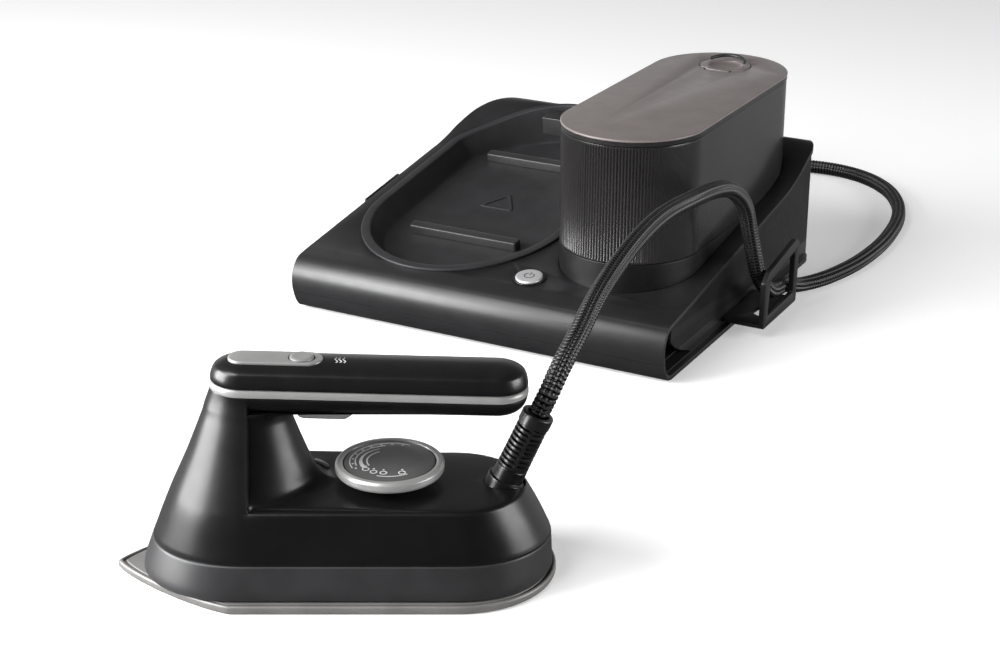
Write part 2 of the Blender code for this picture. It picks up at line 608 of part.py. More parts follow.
pan_clear = prism("pan_clear", cradle_outline(3.8), -30.0, 30.0, None, deck)
tank_clear = prism("tank_clear", stadium(TANK_R + 0.5), 20.0, 120.0, None, station)
button_clear = cylinder("button_clear", 10.1, -12.0, 12.0, None, deck, at=(158.0, 15.6, 0.0))
gland_hole = cylinder("gland_hole", 7.0, -20.0, 20.0, None, station, count=16,
                      at=(GLAND_X, STATION_DEPTH, GLAND_Z), turn=(math.radians(90), 0, 0))
mains_hole = cylinder("mains_hole", 5.4, -20.0, 20.0, None, station, count=16,
                      at=(MAINS_X, STATION_DEPTH, GLAND_Z), turn=(math.radians(90), 0, 0))
cut(deck_shell, plan_outer, operation="INTERSECT")
cut(deck_shell, deck_hollow, side_recess, nose_mouth, pan_clear, tank_clear, button_clear,
    gland_hole, mains_hole)
cut(base_tray, plan_outer, operation="INTERSECT")
cut(base_tray, base_hollow, side_recess, nose_mouth, gland_hole, mains_hole)

FEET = ((22, 18), (240, 18), (44, 222), (236, 226))
FOOT_TOP, FOOT_R = 2.4, 9.0
pockets = [cylinder("foot_pocket", FOOT_R + GAP, -1.0, FOOT_TOP + GAP, None, station,
                    at=(x, y, 0.0)) for x, y in FEET]
cut(base_tray, *pockets)
for n, (x, y) in enumerate(FEET):
    turned(f"foot_{n + 1}", [(0, FOOT_TOP), (FOOT_R, FOOT_TOP), (FOOT_R, 1.0), (8.0, 0.0), (0, 0)],
           "rubber_black", station, closed=False, count=18, at=(x, y, 0.0))

# ---------------------------------------------------------------- station: iron cradle
def pan_ring(inset, z, follow):
    """The cradle's outline moved in; a following ring rises with the deck's back."""
    return [(x, y, z + (deck_rise(y) + GAP * min(1.0, deck_rise(y)) if follow else 0.0))
            for x, y in cradle_outline(inset)]


PAN_ROWS = [(14.6, -CRADLE_DEPTH - 2.0, False), (13.0, -CRADLE_DEPTH - 0.6, False),
            (4.4, GAP, True), (0.0, GAP, True), (0.0, 1.2, True), (0.6, 1.7, True),
            (5.9, 1.7, True), (6.6, 0.9, True), (14.8, -CRADLE_DEPTH + 1.0, False),
            (16.6, -CRADLE_DEPTH, False)]
loft("cradle_pan", [pan_ring(*row) for row in PAN_ROWS], "charcoal", deck)
for name, y, x_low, x_high in (("rest_bar_front", 70.0, 39.0, 121.0),
                               ("rest_bar_rear", 190.0, 34.0, 126.0)):
    loft(name, [at_height(slot_outline(x_low - t, x_high + t, y - 4 - t, y + 4 + t, 2, 2, 2), z)
                for t, z in ((0.0, -CRADLE_DEPTH + GAP), (0.0, -CRADLE_DEPTH + 5.4),
                             (-0.8, -CRADLE_DEPTH + 6.2))], "rubber_black", deck)
LATCH_SIDE = [(219.0, -0.5), (221.6, -0.5), (221.6, 9.0), (232.3, 9.0), (232.3, 12.2),
              (219.0, 12.2)]


def latch_build(bm):
    face = bm.faces.new([bm.verts.new((CRADLE_X - 16.0, y, z)) for y, z in LATCH_SIDE])
    grown = bmesh.ops.extrude_face_region(bm, geom=[face])
    far = [item for item in grown["geom"] if isinstance(item, bmesh.types.BMVert)]
    bmesh.ops.translate(bm, vec=(32.0, 0.0, 0.0), verts=far)


mesh_object("iron_latch", latch_build, "satin_black", deck)

# ---------------------------------------------------------------- station: button and clips
turned("power_bezel", [(10.6, GAP), (10.4, 0.9), (9.6, 0.9), (9.3, 0.6), (9.3, -4.5),
                       (9.8, -4.5), (9.8, GAP)], "satin_black", deck, at=(158.0, 15.6, 0.0))
turned("power_button", [(0, 1.9), (7.8, 1.9), (9.0, 1.2), (9.0, -6.0), (0, -6.0)],
       "silver_plastic", deck, closed=False, at=(158.0, 15.6, 0.0))
box("power_switch", (-4.0, -4.0, -14.0), (4.0, 4.0, -8.2), "satin_black", deck,
         at=(158.0, 15.6, 0.0))

clip_frame = [(91.0, 6.6), (150.0, 6.6), (152.0, 47.0), (146.0, 51.0), (99.0, 43.2),
              (92.0, 37.5)]
clip_window = [(98.0, 13.5), (143.5, 14.5), (144.0, 43.0), (102.0, 36.5)]
clip_body = side_prism("hose_clip", clip_frame, STATION_WIDTH - SIDE_RECESS + GAP, 291.0,
                       "charcoal")
cut(clip_body, side_prism("clip_window", clip_window, 255.0, 300.0, None),
    side_prism("clip_channel", [(85.0, 9.4), (170.0, 9.4), (170.0, 60.0), (85.0, 60.0)],
               250.0, 287.5, None),
    prism("clip_web", [(275.0, 110.5), (282.8, 106.5), (276.2, 124.5)], -5.0, 20.0, None,
          station))
HOOK_SIDE = [(-0.3, -5.2), (-3.4, -4.0), (-3.4, 0.0), (-5.2, 0.0), (-5.2, -8.4), (-0.3, -12.2)]
HOOK_DROP = 2.2                          # its lip stops this far below the deck's edge
hook_rings = [[(x, y, DECK_Z + (y - DECK_Y) * math.tan(DECK_TILT) - HOOK_DROP + z)
               for x, z in HOOK_SIDE] for y in (90.0, 134.0)]
loft("cord_hook", hook_rings, "charcoal", station)

# ---------------------------------------------------------------- station: inside
DOCK_TOP = TANK_BASE - 0.4
dock = loft("tank_dock", [at_height(stadium(r), z) for r, z in (
    (TANK_R - 1.0, 34.0), (TANK_R, 35.0), (TANK_R, DOCK_TOP - 0.5), (TANK_R - 0.4, DOCK_TOP),
    (TANK_R - 2.0, DOCK_TOP), (TANK_R - 2.2, DOCK_TOP - 0.5), (TANK_R - 2.2, 36.5))],
            "charcoal", station)
dock_hole = cylinder("dock_hole", 8.6, 28.0, 40.0, None, valve, count=20)
cut(dock, dock_hole)
turned("valve_socket", [(11.5, 33.7), (8.6, 33.7), (8.6, 22.0), (2.0, 22.0), (2.0, 18.0),
                        (11.5, 18.0)], "satin_black", valve, count=20)
turned("pump", [(0, 25), (13, 25), (13, -16), (8, -16), (8, -27), (0, -27)], "steel", station,
       closed=False, count=20, at=(96.0, 150.0, 20.5), turn=(0.0, math.radians(90), 0.0))
saddle = prism("pump_mount", [(72.0, 134.0), (118.0, 134.0), (118.0, 166.0), (72.0, 166.0)],
               5.6, 18.0, "rubber_black", station)
saddle_bore = cylinder("saddle_bore", 13.4, -40.0, 40.0, None, station, count=24,
                       at=(96.0, 150.0, 20.5), turn=(0.0, math.radians(90), 0.0))
cut(saddle, saddle_bore)
tube("suction_tube", [(TANK_X, VALVE_Y, 17.6), (TANK_X, VALVE_Y, 13), (200, 104, 10),
                      (170, 132, 12), (148, 147, 19), (134, 150, 20.5), (122, 150, 20.5)],
     2.2, "tube_white", station)
box("station_board", (172.0, 170.0, 9.0), (246.0, 222.0, 10.6), "circuit_green", station)
back = math.radians(90)
turned("station_gland", [(0, 8), (6.6, 8), (6.6, -0.3), (9.4, -0.3), (9.4, -4.0), (7.4, -6.0),
                         (7.0, -22.0), (0, -22.0)], "rubber_black", station, closed=False,
       count=20, at=(GLAND_X, STATION_DEPTH, GLAND_Z), turn=(back, 0.0, 0.0))
turned("mains_gland", [(0, 8), (5.0, 8), (5.0, -0.3), (7.6, -0.3), (7.6, -3.0), (5.2, -5.0),
                       (4.6, -14.0), (0, -14.0)], "rubber_black", station, closed=False,
       count=16, at=(MAINS_X, STATION_DEPTH, GLAND_Z), turn=(back, 0.0, 0.0))

# ---------------------------------------------------------------- water tank
tank = loft("tank_shell", [at_height(stadium(r), z) for r, z in (
    (TANK_R - 4.0, 37.2), (TANK_R - 2.9, 38.4), (TANK_R - 2.9, TANK_BASE),
    (TANK_R, TANK_BASE), (TANK_R, TANK_TOP), (TANK_R - 2.2, TANK_TOP),
    (TANK_R - 2.2, TANK_BASE + 2.3), (TANK_R - 5.1, TANK_BASE + 0.7), (TANK_R - 5.1, 39.4))],
            "smoked_plastic", station)
cut(tank, cylinder("tank_hole", 8.3, 34.0, 44.0, None, valve, count=20))
turned("tank_valve", [(7.6, 47.0), (4.6, 47.0), (4.6, 28.0), (7.9, 28.0), (7.9, 39.7),
                      (11.0, 39.7), (11.0, 42.0), (7.6, 42.0)], "satin_black", valve, count=20)
turned("valve_poppet", [(0, 50.0), (6.6, 50.0), (6.6, 47.3), (4.2, 47.3), (4.2, 25.0),
                        (0, 25.0)], "silver_plastic", valve, closed=False, count=16)
lid = loft("tank_lid", [at_height(stadium(r, 12), z) for r, z in (
    (TANK_R + 0.5, TANK_TOP + GAP), (TANK_R + 0.5, LID_TOP - 1.0), (TANK_R - 0.6, LID_TOP))],
           "lid_taupe", station)
flap_disc = [(FLAP_R * math.cos(math.tau * i / 28), FLAP_R * math.sin(math.tau * i / 28))
             for i in range(28)]
flap_plan = [(x, y) for x, y in flap_disc if y >= -TONGUE_BACK]
flap_plan += [(x, y) for x in (-TONGUE_HALF, TONGUE_HALF) for y in (-TONGUE_FRONT, -TONGUE_BACK)]
flap_plan.sort(key=lambda p: math.atan2(p[1], p[0]))
flap_clear = prism("flap_clear", [(x * 1.04, y * 1.04) for x, y in flap_plan],
                   LID_TOP - 3.2, LID_TOP + 4.0, None, station, at=(TANK_X, FLAP_Y, 0.0))
hinge_clear = box("hinge_clear", (-9.4, -16.3, LID_TOP - 3.9), (9.4, -11.0, LID_TOP + 4.0),
                  None, station, at=(TANK_X, FLAP_Y, 0.0))
fill_hole = cylinder("fill_hole", 10.5, TANK_TOP - 4.0, LID_TOP + 4.0, None, station,
                     at=(TANK_X, FLAP_Y, 0.0))
pin_seat = cylinder("pin_seat", 0.9, -12.0, 12.0, None, hinge, count=12,
                    turn=(0.0, math.radians(90), 0.0))
cut(lid, flap_clear, hinge_clear, fill_hole, pin_seat)
flap = prism("fill_flap", flap_plan, LID_TOP - 2.8, LID_TOP + 0.3, "lid_taupe", station,
             at=(TANK_X, FLAP_Y, 0.0))
flap_dish = turned("flap_dish", [(0, LID_TOP + 4), (11.6, LID_TOP + 4), (11.6, LID_TOP + 0.1),
                                 (10.5, LID_TOP - 0.8), (0, LID_TOP - 1.5)], None, station,
                   closed=False, at=(TANK_X, FLAP_Y, 0.0))
cut(flap, flap_dish, pin_seat)
cylinder("flap_pin", 0.6, -11.5, 11.5, "steel", hinge, count=10,
         turn=(0.0, math.radians(90), 0.0))
pull = [(TANK_X + 12.8 * math.cos(a), FLAP_Y + 13.4 * math.sin(a),
         LID_TOP + 2.0 + 1.8 * math.sin(a))
        for a in (math.radians(d) for d in range(20, 161, 14))]
tube("flap_pull", pull, 1.2, "rubber_black", station, sides=1, spacing=None)

# ---------------------------------------------------------------- hose
def in_row(points):
    """Station-frame points in the row frame."""
    turn = Matrix.Rotation(STATION_YAW, 3, "Z")
    return [turn @ Vector(p) + Vector((STATION_X, STATION_Y, 0.0)) for p in points]


lean = Vector((math.sin(BOOT_LEAN), 0.0, math.cos(BOOT_LEAN)))
start = Vector((BOOT_X - SOLE_CENTRE, 0.0, BOOT_Z)) + lean * (BOOT_LENGTH + GAP)
COIL_IN = (COIL_X + 0.3 * (COIL_R + 11.3), COIL_Y + 0.954 * (COIL_R + 11.3))
route = [(305.8, -226, 106), (303.5, -204, 113.5), (297.5, -167, 122.5), (290.5, -115, 128.5),
         (284, -62, 128), (280.8, -10, 122.5), (280.5, 30, 117), (280.5, 55, 108.5),
         (280.5, 76, 92.5), (280.3, 90, 67), (281, 105, 38), (281, 127, 20), (282, 152, 15.5),
         (284.5, 176, 8), (293, 201, 5.8), (301, 232, 5.6), (304.6, 264, 5.6),
         (304.6, 297, 5.6), (300, 336, 5.6), (291, 368, 5.6), (277, 396, 5.6),
         (261, 415, 5.6), (243, 428, 5.6), (222, 435, 5.6), (200, 435, 5.6), (178, 429, 5.6),
         (157, 421, 5.6), (*COIL_IN, 5.6)]
tube("hose_run", [start, start + lean * 12] + in_row(route), HOSE_R, "hose_braid", None,
     spacing=19.0)
turned("hose_coil", [(COIL_R - 3.6, 21.4), (COIL_R + 3.6, 21.4), (COIL_R + 5.3, 19.0),
                     (COIL_R + 5.3, 2.4), (COIL_R + 3.6, 0.3), (COIL_R - 3.6, 0.3),
                     (COIL_R - 5.3, 2.4), (COIL_R - 5.3, 19.0)], "hose_braid", station,
       count=36, at=(COIL_X, COIL_Y, 0.0))
gland_end = (GLAND_X, STATION_DEPTH + 22.0 + GAP, GLAND_Z)
over = 21.4 + GAP + HOSE_R              # the last quarter turn lies on top of the coil
tube("hose_tail", [gland_end, (GLAND_X, 287, GLAND_Z), (GLAND_X, 302, 24.4), (GLAND_X, 319, over),
                   (GLAND_X, 336, over), (GLAND_X + 0.3, 352, over), (GLAND_X + 2.4, 366, over)],
     HOSE_R, "hose_braid", station, spacing=8.0)
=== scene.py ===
"""Looks of the compact steam-generator iron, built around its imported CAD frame.

Pieces are drawn in millimetres in the local frame of the CAD part they belong to, and each one
rides on that part's body.
"""
import json
import math

import bmesh
import bpy
from mathutils import Matrix, Vector

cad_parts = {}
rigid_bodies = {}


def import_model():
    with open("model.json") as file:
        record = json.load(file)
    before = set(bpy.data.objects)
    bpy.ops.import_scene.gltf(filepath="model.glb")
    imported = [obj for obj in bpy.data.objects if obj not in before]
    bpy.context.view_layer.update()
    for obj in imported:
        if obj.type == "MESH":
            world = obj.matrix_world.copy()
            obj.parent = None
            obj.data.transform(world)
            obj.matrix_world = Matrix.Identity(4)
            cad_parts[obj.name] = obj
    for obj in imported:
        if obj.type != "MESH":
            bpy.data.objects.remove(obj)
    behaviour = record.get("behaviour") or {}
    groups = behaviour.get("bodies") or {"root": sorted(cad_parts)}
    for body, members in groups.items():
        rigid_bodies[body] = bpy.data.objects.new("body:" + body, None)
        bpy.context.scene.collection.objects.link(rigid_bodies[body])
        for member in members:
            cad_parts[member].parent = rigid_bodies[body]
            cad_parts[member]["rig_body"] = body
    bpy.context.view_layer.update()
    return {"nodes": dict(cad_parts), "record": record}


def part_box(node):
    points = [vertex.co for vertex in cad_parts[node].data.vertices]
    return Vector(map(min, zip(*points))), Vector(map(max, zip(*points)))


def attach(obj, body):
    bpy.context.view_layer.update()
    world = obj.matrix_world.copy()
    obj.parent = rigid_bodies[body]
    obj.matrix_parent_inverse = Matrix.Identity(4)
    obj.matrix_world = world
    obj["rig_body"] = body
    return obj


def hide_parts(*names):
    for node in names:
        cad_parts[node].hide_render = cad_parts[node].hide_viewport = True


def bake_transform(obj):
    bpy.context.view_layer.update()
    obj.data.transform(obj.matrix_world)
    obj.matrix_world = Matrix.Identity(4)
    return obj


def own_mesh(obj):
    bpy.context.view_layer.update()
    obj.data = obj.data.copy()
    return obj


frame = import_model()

MM = 0.001
TURN = math.tau

# ---------------------------------------------------------------- local frames, from the CAD nodes
SLOT = {row["node"]: row["material_slot"] for row in frame["record"]["subparts"]}


def shift(x, y, z):
    return Matrix.Translation((x * MM, y * MM, z * MM))


def middle(node):
    low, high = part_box(node)
    return (low + high) / 2


IRON = Matrix.Translation((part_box("soleplate")[0].x, 0.0, 0.0))
HANDLE_TILT = math.radians(1.6)
PIVOT_X, BAND_Z = 94.0, 98.8
HANDLE = (IRON @ shift(PIVOT_X - BAND_Z * math.sin(HANDLE_TILT), 0,
                       BAND_Z * (1 - math.cos(HANDLE_TILT)))
          @ Matrix.Rotation(HANDLE_TILT, 4, "Y"))
DIAL = Matrix.Translation((middle("dial_shaft").x, 0.0, 0.0))
BOOT_X, BOOT_Z, BOOT_LEAN = 193.5, 48.0, math.radians(24)
BOOT = IRON @ shift(BOOT_X, 0, BOOT_Z) @ Matrix.Rotation(BOOT_LEAN, 4, "Y")
FOOT = (22.0, 18.0)
foot_a, foot_b = middle("foot_1"), middle("foot_2")
YAW = math.atan2(foot_b.y - foot_a.y, foot_b.x - foot_a.x)
STATION = (Matrix.Translation((foot_a.x, foot_a.y, 0.0)) @ Matrix.Rotation(YAW, 4, "Z")
           @ shift(-FOOT[0], -FOOT[1], 0))
DECK_TILT = math.radians(8.17)
DECK_Y, DECK_Z = 9.0, 38.4       # where the flat deck begins, behind the rolled front
DECK = STATION @ shift(0, DECK_Y, DECK_Z) @ Matrix.Rotation(DECK_TILT, 4, "X")


# ---------------------------------------------------------------- materials
def feed(tree, node, inputs):
    """Link each input that is given a socket, and set the others."""
    for name, value in inputs.items():
        if isinstance(value, bpy.types.NodeSocket):
            tree.links.new(value, node.inputs[name])
        else:
            node.inputs[name].default_value = value


def add(tree, kind, inputs, output, **settings):
    """The output of a new shader node."""
    made = tree.nodes.new("ShaderNode" + kind)
    for name, value in settings.items():
        setattr(made, name, value)
    feed(tree, made, inputs)
    return made.outputs[output]


def maths(tree, operation, *inputs):
    return add(tree, "Math", dict(enumerate(inputs)), "Value", operation=operation)


def ramp(tree, amount, low, high):
    """A colour that changes between two (position, colour) stops."""
    blended = add(tree, "ValToRGB", {"Fac": amount}, "Color")
    for stop, (position, colour) in zip(blended.node.color_ramp.elements, (low, high)):
        stop.position = position
        stop.color = (*colour, 1.0)
    return blended


def emboss(tree, height, strength):
    raised = add(tree, "Bump", {"Strength": strength, "Distance": GRAIN_DEPTH, "Height": height},
                 "Normal")
    feed(tree, tree.nodes["Principled BSDF"], {"Normal": raised})


GRAIN_DEPTH = 0.0003
EDGE_TINT = (0.5, 0.5, 0.5, 1.0)


def material(name, colour, rough, metal=0.0, vary=0.12, patch=60.0, grain=1500.0, bump=0.05,
             gloss=0.5, coat=0.0, sheen=0.0, edge=0.0, stretch=(1, 1, 1), rough_vary=0.06):
    """A procedural surface: patchy tone, uneven gloss, moulded grain, and lighter edges that are
    partly wear and partly a painted highlight.
    """
    made = bpy.data.materials.new(name)
    made.use_nodes = True
    tree = made.node_tree
    place = add(tree, "TexCoord", {}, "Object")
    place = add(tree, "Mapping", {"Vector": place, "Scale": stretch}, "Vector")

    def noise(scale, detail):
        return add(tree, "TexNoise", {"Vector": place, "Scale": scale, "Detail": detail}, "Fac")

    tone = ramp(tree, noise(patch, 4.0), (0.35, [c * (1 - vary) for c in colour]),
                (0.65, [c * (1 + vary) for c in colour]))
    # Convex edges are lightened: partly wear, partly a painted highlight along the edges.
    if edge:
        edge_wear_and_highlight = add(tree, "MapRange", {"Value": add(tree, "NewGeometry", {}, "Pointiness"),
                                      "From Min": 0.52, "From Max": 0.62, "To Max": edge},
                   "Result")
        tone = add(tree, "MixRGB", {"Fac": edge_wear_and_highlight, "Color1": tone, "Color2": EDGE_TINT}, "Color",
                   blend_type="ADD")
    spread = add(tree, "MapRange", {"Value": noise(patch * 2.3, 3.0),
                                    "To Min": max(0.02, rough - rough_vary),
                                    "To Max": min(1.0, rough + rough_vary)}, "Result")
    feed(tree, tree.nodes["Principled BSDF"], {
        "Base Color": tone, "Roughness": spread, "Metallic": metal, "Specular IOR Level": gloss,
        "Coat Weight": coat, "Coat Roughness": 0.12, "Sheen Weight": sheen,
        "Sheen Roughness": 0.4})
    if bump:
        emboss(tree, noise(grain, 2.0), bump)
    return made


RIB_PITCH = 0.0025
YARNS_ROUND = 22


def woven(name, colour, rough):
    """The hose sleeve: painted shade in the grooves and a painted highlight on the rib crests,
    under fine yarns that cross.

    The sleeve's uv holds the share of the girth, and the length in metres.
    """
    made = material(name, colour, rough, vary=0.25, patch=300, bump=0.0, gloss=0.45)
    tree = made.node_tree
    place = add(tree, "UVMap", {}, "UV", uv_map="along")
    split = add(tree, "SeparateXYZ", {"Vector": place}, "X").node
    girth, length = split.outputs["X"], split.outputs["Y"]

    def yarn(turns):
        around = maths(tree, "MULTIPLY", girth, turns * TURN)
        return maths(tree, "SINE", maths(tree, "MULTIPLY_ADD", length, TURN / RIB_PITCH, around))

    crossing = maths(tree, "MULTIPLY", yarn(YARNS_ROUND), yarn(-YARNS_ROUND))
    wave = maths(tree, "COSINE", maths(tree, "MULTIPLY", length, TURN / RIB_PITCH))
    rib_shade_and_highlight = maths(tree, "MULTIPLY_ADD", wave, -0.5, 0.5)
    # Painted shade and highlight: grooves darkened to a tenth of the colour, rib crests lightened
    # tenfold.
    tone = ramp(tree, rib_shade_and_highlight, (0.5, [c * 0.1 for c in colour]), (1.0, [c * 10 for c in colour]))
    feed(tree, tree.nodes["Principled BSDF"], {"Base Color": tone})
    emboss(tree, crossing, 0.2)
    return made


LOOK = {
    "body": material("body_satin_black", (0.0045, 0.0045, 0.005), 0.32, bump=0.03, edge=0.03,
                     gloss=0.42, grain=2200),
    "skirt": material("skirt_grey", (0.023, 0.023, 0.0245), 0.40, bump=0.04, edge=0.03),
    "gloss": material("gloss_black", (0.006, 0.006, 0.0065), 0.30, bump=0.015,
                      grain=900),
    "face": material("dial_face", (0.085, 0.084, 0.083), 0.30, bump=0.02, grain=900),
    "charcoal": material("station_charcoal", (0.010, 0.010, 0.0109), 0.38, bump=0.05,
                         edge=0.03, grain=1900),
    "pan": material("pan_charcoal", (0.022, 0.022, 0.0235), 0.42, bump=0.07, edge=0.03,
                    grain=1300),
    "silver": material("silver_plastic", (0.275, 0.272, 0.27), 0.34, metal=0.25, vary=0.06,
                       bump=0.03, grain=2600),
    "ring": material("ring_silver", (0.34, 0.337, 0.334), 0.30, metal=0.35, vary=0.05,
                     bump=0.03, grain=2600),
    "mark": material("printed_mark", (0.62, 0.62, 0.63), 0.5, vary=0.08, bump=0.03),
    "dark_mark": material("dark_mark", (0.05, 0.05, 0.052), 0.5, bump=0.03),
    "sole_rim": material("sole_rim", (0.185, 0.18, 0.175), 0.42, metal=0.3, vary=0.08, bump=0.05,
                         grain=2400),
    "sole": material("sole_metal", (0.33, 0.315, 0.30), 0.32, metal=0.85, vary=0.10, bump=0.08,
                     grain=700, stretch=(0.15, 1, 1)),
    "cast": material("cast_metal", (0.42, 0.42, 0.43), 0.58, metal=0.9, vary=0.15, bump=0.35,
                     grain=800),
    "satin_metal": material("satin_metal", (0.62, 0.62, 0.63), 0.38, metal=0.6, vary=0.04,
                            bump=0.03, grain=2600),
    "steel": material("steel", (0.55, 0.55, 0.56), 0.3, metal=1.0, vary=0.08, bump=0.06,
                      grain=900, stretch=(0.1, 1, 1)),
    "smoked": material("smoked_plastic", (0.015, 0.014, 0.014), 0.24, bump=0.015, coat=0.15,
                       grain=500, patch=14, vary=0.2),
    "taupe": material("lid_taupe", (0.150, 0.130, 0.124), 0.34, vary=0.06, bump=0.03,
                      grain=2600, edge=0.05),
    "rubber": material("rubber_black", (0.012, 0.012, 0.012), 0.48, vary=0.2, bump=0.12,
                       grain=1800, sheen=0.1),
    "boot": material("boot_rubber", (0.010, 0.010, 0.0102), 0.30, bump=0.04, gloss=0.7),
    "satin": material("satin_black", (0.012, 0.012, 0.0125), 0.36, bump=0.04, edge=0.02),
    "grey": material("grey_plastic", (0.19, 0.19, 0.195), 0.34, bump=0.03),
    "dock": material("dock_black", (0.005, 0.005, 0.0055), 0.42, gloss=0.3, bump=0.03),
    "dark": material("dark_recess", (0.006, 0.006, 0.006), 0.6, bump=0.05),
    "green": material("circuit_green", (0.03, 0.16, 0.07), 0.4, vary=0.35, patch=400, bump=0.2),
    "lens": material("lens_white", (0.30, 0.31, 0.32), 0.18, vary=0.05, bump=0.0, coat=0.5),
    "tube": material("tube_white", (0.65, 0.65, 0.63), 0.45, vary=0.05, bump=0.05),
    "braid": woven("hose_braid", (0.0034, 0.0034, 0.0036), 0.30),
}
CARRIED = {"satin_black": "satin", "cast_metal": "cast", "steel": "steel",
           "circuit_green": "green", "tube_white": "tube", "rubber_black": "rubber",
           "silver_plastic": "silver", "gloss_black": "gloss", "charcoal": "charcoal",
           "skirt_grey": "skirt", "sole_metal": "sole", "smoked_plastic": "smoked",
           "lid_taupe": "taupe", "hose_braid": "satin", "lens_white": "lens"}
for node, obj in frame["nodes"].items():
    for holder in obj.material_slots:
        holder.material = LOOK[CARRIED[SLOT[node]]]


# ---------------------------------------------------------------- shape helpers
def mix(a, b, t):
    return a + (b - a) * t


def polar(radius, angle, x=0.0, y=0.0):
    """The point at an angle, in radians, round a centre."""
    return x + radius * math.cos(angle), y + radius * math.sin(angle)


def smooth_line(points, per=6):
    """A Catmull-Rom curve through points of any size, a few steps between each pair."""
    given = [Vector(p) for p in points]
    ends = [given[0] * 2 - given[1]] + given + [given[-1] * 2 - given[-2]]
    out = [given[0]]
    for a, b, c, d in zip(ends, ends[1:], ends[2:], ends[3:]):
        for k in range(1, per + 1):
            t = k / per
            out.append(0.5 * ((2 * b) + (c - a) * t + (2 * a - 5 * b + 4 * c - d) * t * t
                              + (3 * b - a - 3 * c + d) * t ** 3))
    return out


def read(table, z):
    """The value at z on a smooth curve through (z, value) pairs in rising order."""
    n = max(i for i in range(len(table) - 1) if i == 0 or table[i][0] <= z)
    (z0, a), (z1, b) = table[n], table[n + 1]
    before = table[max(0, n - 1)]
    after = table[min(len(table) - 1, n + 2)]
    t = min(1.0, max(0.0, (z - z0) / (z1 - z0)))
    rise0 = (b - before[1]) / (z1 - before[0]) * (z1 - z0)
    rise1 = (after[1] - a) / (after[0] - z0) * (z1 - z0)
    return ((2 * t ** 3 - 3 * t * t + 1) * a + (t ** 3 - 2 * t * t + t) * rise0
            + (3 * t * t - 2 * t ** 3) * b + (t ** 3 - t * t) * rise1)


def fillet(points, radius, closed=True, steps=4, least=0.35):
    """Round the corners of a flat outline."""
    out = []
    count = len(points)
    for n, here in enumerate(points):
        if not closed and n in (0, count - 1):
            out.append(tuple(here))
            continue
        p = Vector(here)
        back, ahead = Vector(points[n - 1]) - p, Vector(points[(n + 1) % count]) - p
        turn = math.pi - back.angle(ahead, 0.0)
        if turn < least:
            out.append(tuple(here))
            continue
        reach = min(radius * math.tan(turn / 2), 0.46 * back.length, 0.46 * ahead.length)
        a, b = p + back.normalized() * reach, p + ahead.normalized() * reach
        for k in range(steps + 1):
            t = k / steps
            out.append(tuple(a * (1 - t) ** 2 + p * 2 * t * (1 - t) + b * t * t))
    return out


def bridge(bm, a, b):
    """A band of faces between two rings."""
    for i in range(len(a)):
        j = (i + 1) % len(a)
        bm.faces.new((a[i], a[j], b[j], b[i]))


def loft(rings, wrap=False):
    """Skin rings of equal count; a wrapped loft closes on its first ring, others get caps."""
    def build(bm):
        loops = [[bm.verts.new(point) for point in ring] for ring in rings]
        pairs = list(zip(loops, loops[1:]))
        if wrap:
            pairs.append((loops[-1], loops[0]))
        else:
            bm.faces.new(loops[0])
            bm.faces.new(loops[-1])
        for low, high in pairs:
            bridge(bm, low, high)
    return build


def prism(outline, low, high, axis="Z"):
    """A flat outline extruded along Z, or a (y, z) outline extruded along X."""
    if axis == "X":
        return loft([[(x, y, z) for y, z in outline] for x in (low, high)])
    return loft([[(x, y, z) for x, y in outline] for z in (low, high)])


def turned(profile, closed=True, count=72, radius=0.0):
    """A (radius, z) profile spun about Z, its corners rounded first."""
    if radius:
        profile = fillet(profile, radius, closed)

    def build(bm):
        rings = []
        for r, z in profile:
            if r < 1e-6:
                rings.append([bm.verts.new((0, 0, z))])
            else:
                rings.append([bm.verts.new((*polar(r, TURN * i / count), z))
                              for i in range(count)])
        pairs = list(zip(rings, rings[1:])) + ([(rings[-1], rings[0])] if closed else [])
        for a, b in pairs:
            if len(a) > 1 and len(b) > 1:
                bridge(bm, a, b)
                continue
            for i in range(count):
                j = (i + 1) % count
                if len(b) > 1:
                    bm.faces.new((a[0], b[j], b[i]))
                elif len(a) > 1:
                    bm.faces.new((a[i], a[j], b[0]))
    return build


def drill(radius, low, high, count=40):
    """A plain cylinder, to cut a hole with."""
    return turned([(0, low), (radius, low), (radius, high), (0, high)], False, count)


def block(low, high):
    """A rectangular block."""
    return prism([(low[0], low[1]), (high[0], low[1]), (high[0], high[1]), (low[0], high[1])],
                 low[2], high[2])


def several(*builds):
    """Several shapes in one mesh."""
    def build(bm):
        for part in builds:
            part(bm)
    return build


def frames_along(points):
    """A side and an up direction at each point of a line, without twist."""
    out, side = [], None
    for n, point in enumerate(points):
        ahead = (points[min(n + 1, len(points) - 1)] - points[max(n - 1, 0)]).normalized()
        if side is None:
            side = ahead.orthogonal()
            level = ahead.cross(Vector((0, 0, 1)))
            if level.length > 0.01:
                side = level
        side = (side - ahead * side.dot(ahead)).normalized()
        out.append((point, side, ahead.cross(side)))
    return out


def tube(points, radius, sides=14):
    """A round bar with domed ends along a line."""
    line = frames_along([Vector(p) for p in points])
    ahead = (line[-1][0] - line[-2][0]).normalized()
    behind = (line[0][0] - line[1][0]).normalized()
    rows = [(line[0][0] + behind * radius * c, line[0], s)
            for s, c in ((0.5, 0.87), (0.87, 0.5))]
    rows += [(row[0], row, 1.0) for row in line]
    rows += [(line[-1][0] + ahead * radius * c, line[-1], s)
             for s, c in ((0.87, 0.5), (0.5, 0.87))]
    return loft([[centre + (side * math.cos(TURN * i / sides) + up * math.sin(TURN * i / sides))
                  * radius * scale for i in range(sides)]
                 for centre, (_, side, up), scale in rows])


def linked(name, data):
    """A new object in the scene."""
    obj = bpy.data.objects.new(name, data)
    bpy.context.scene.collection.objects.link(obj)
    return obj


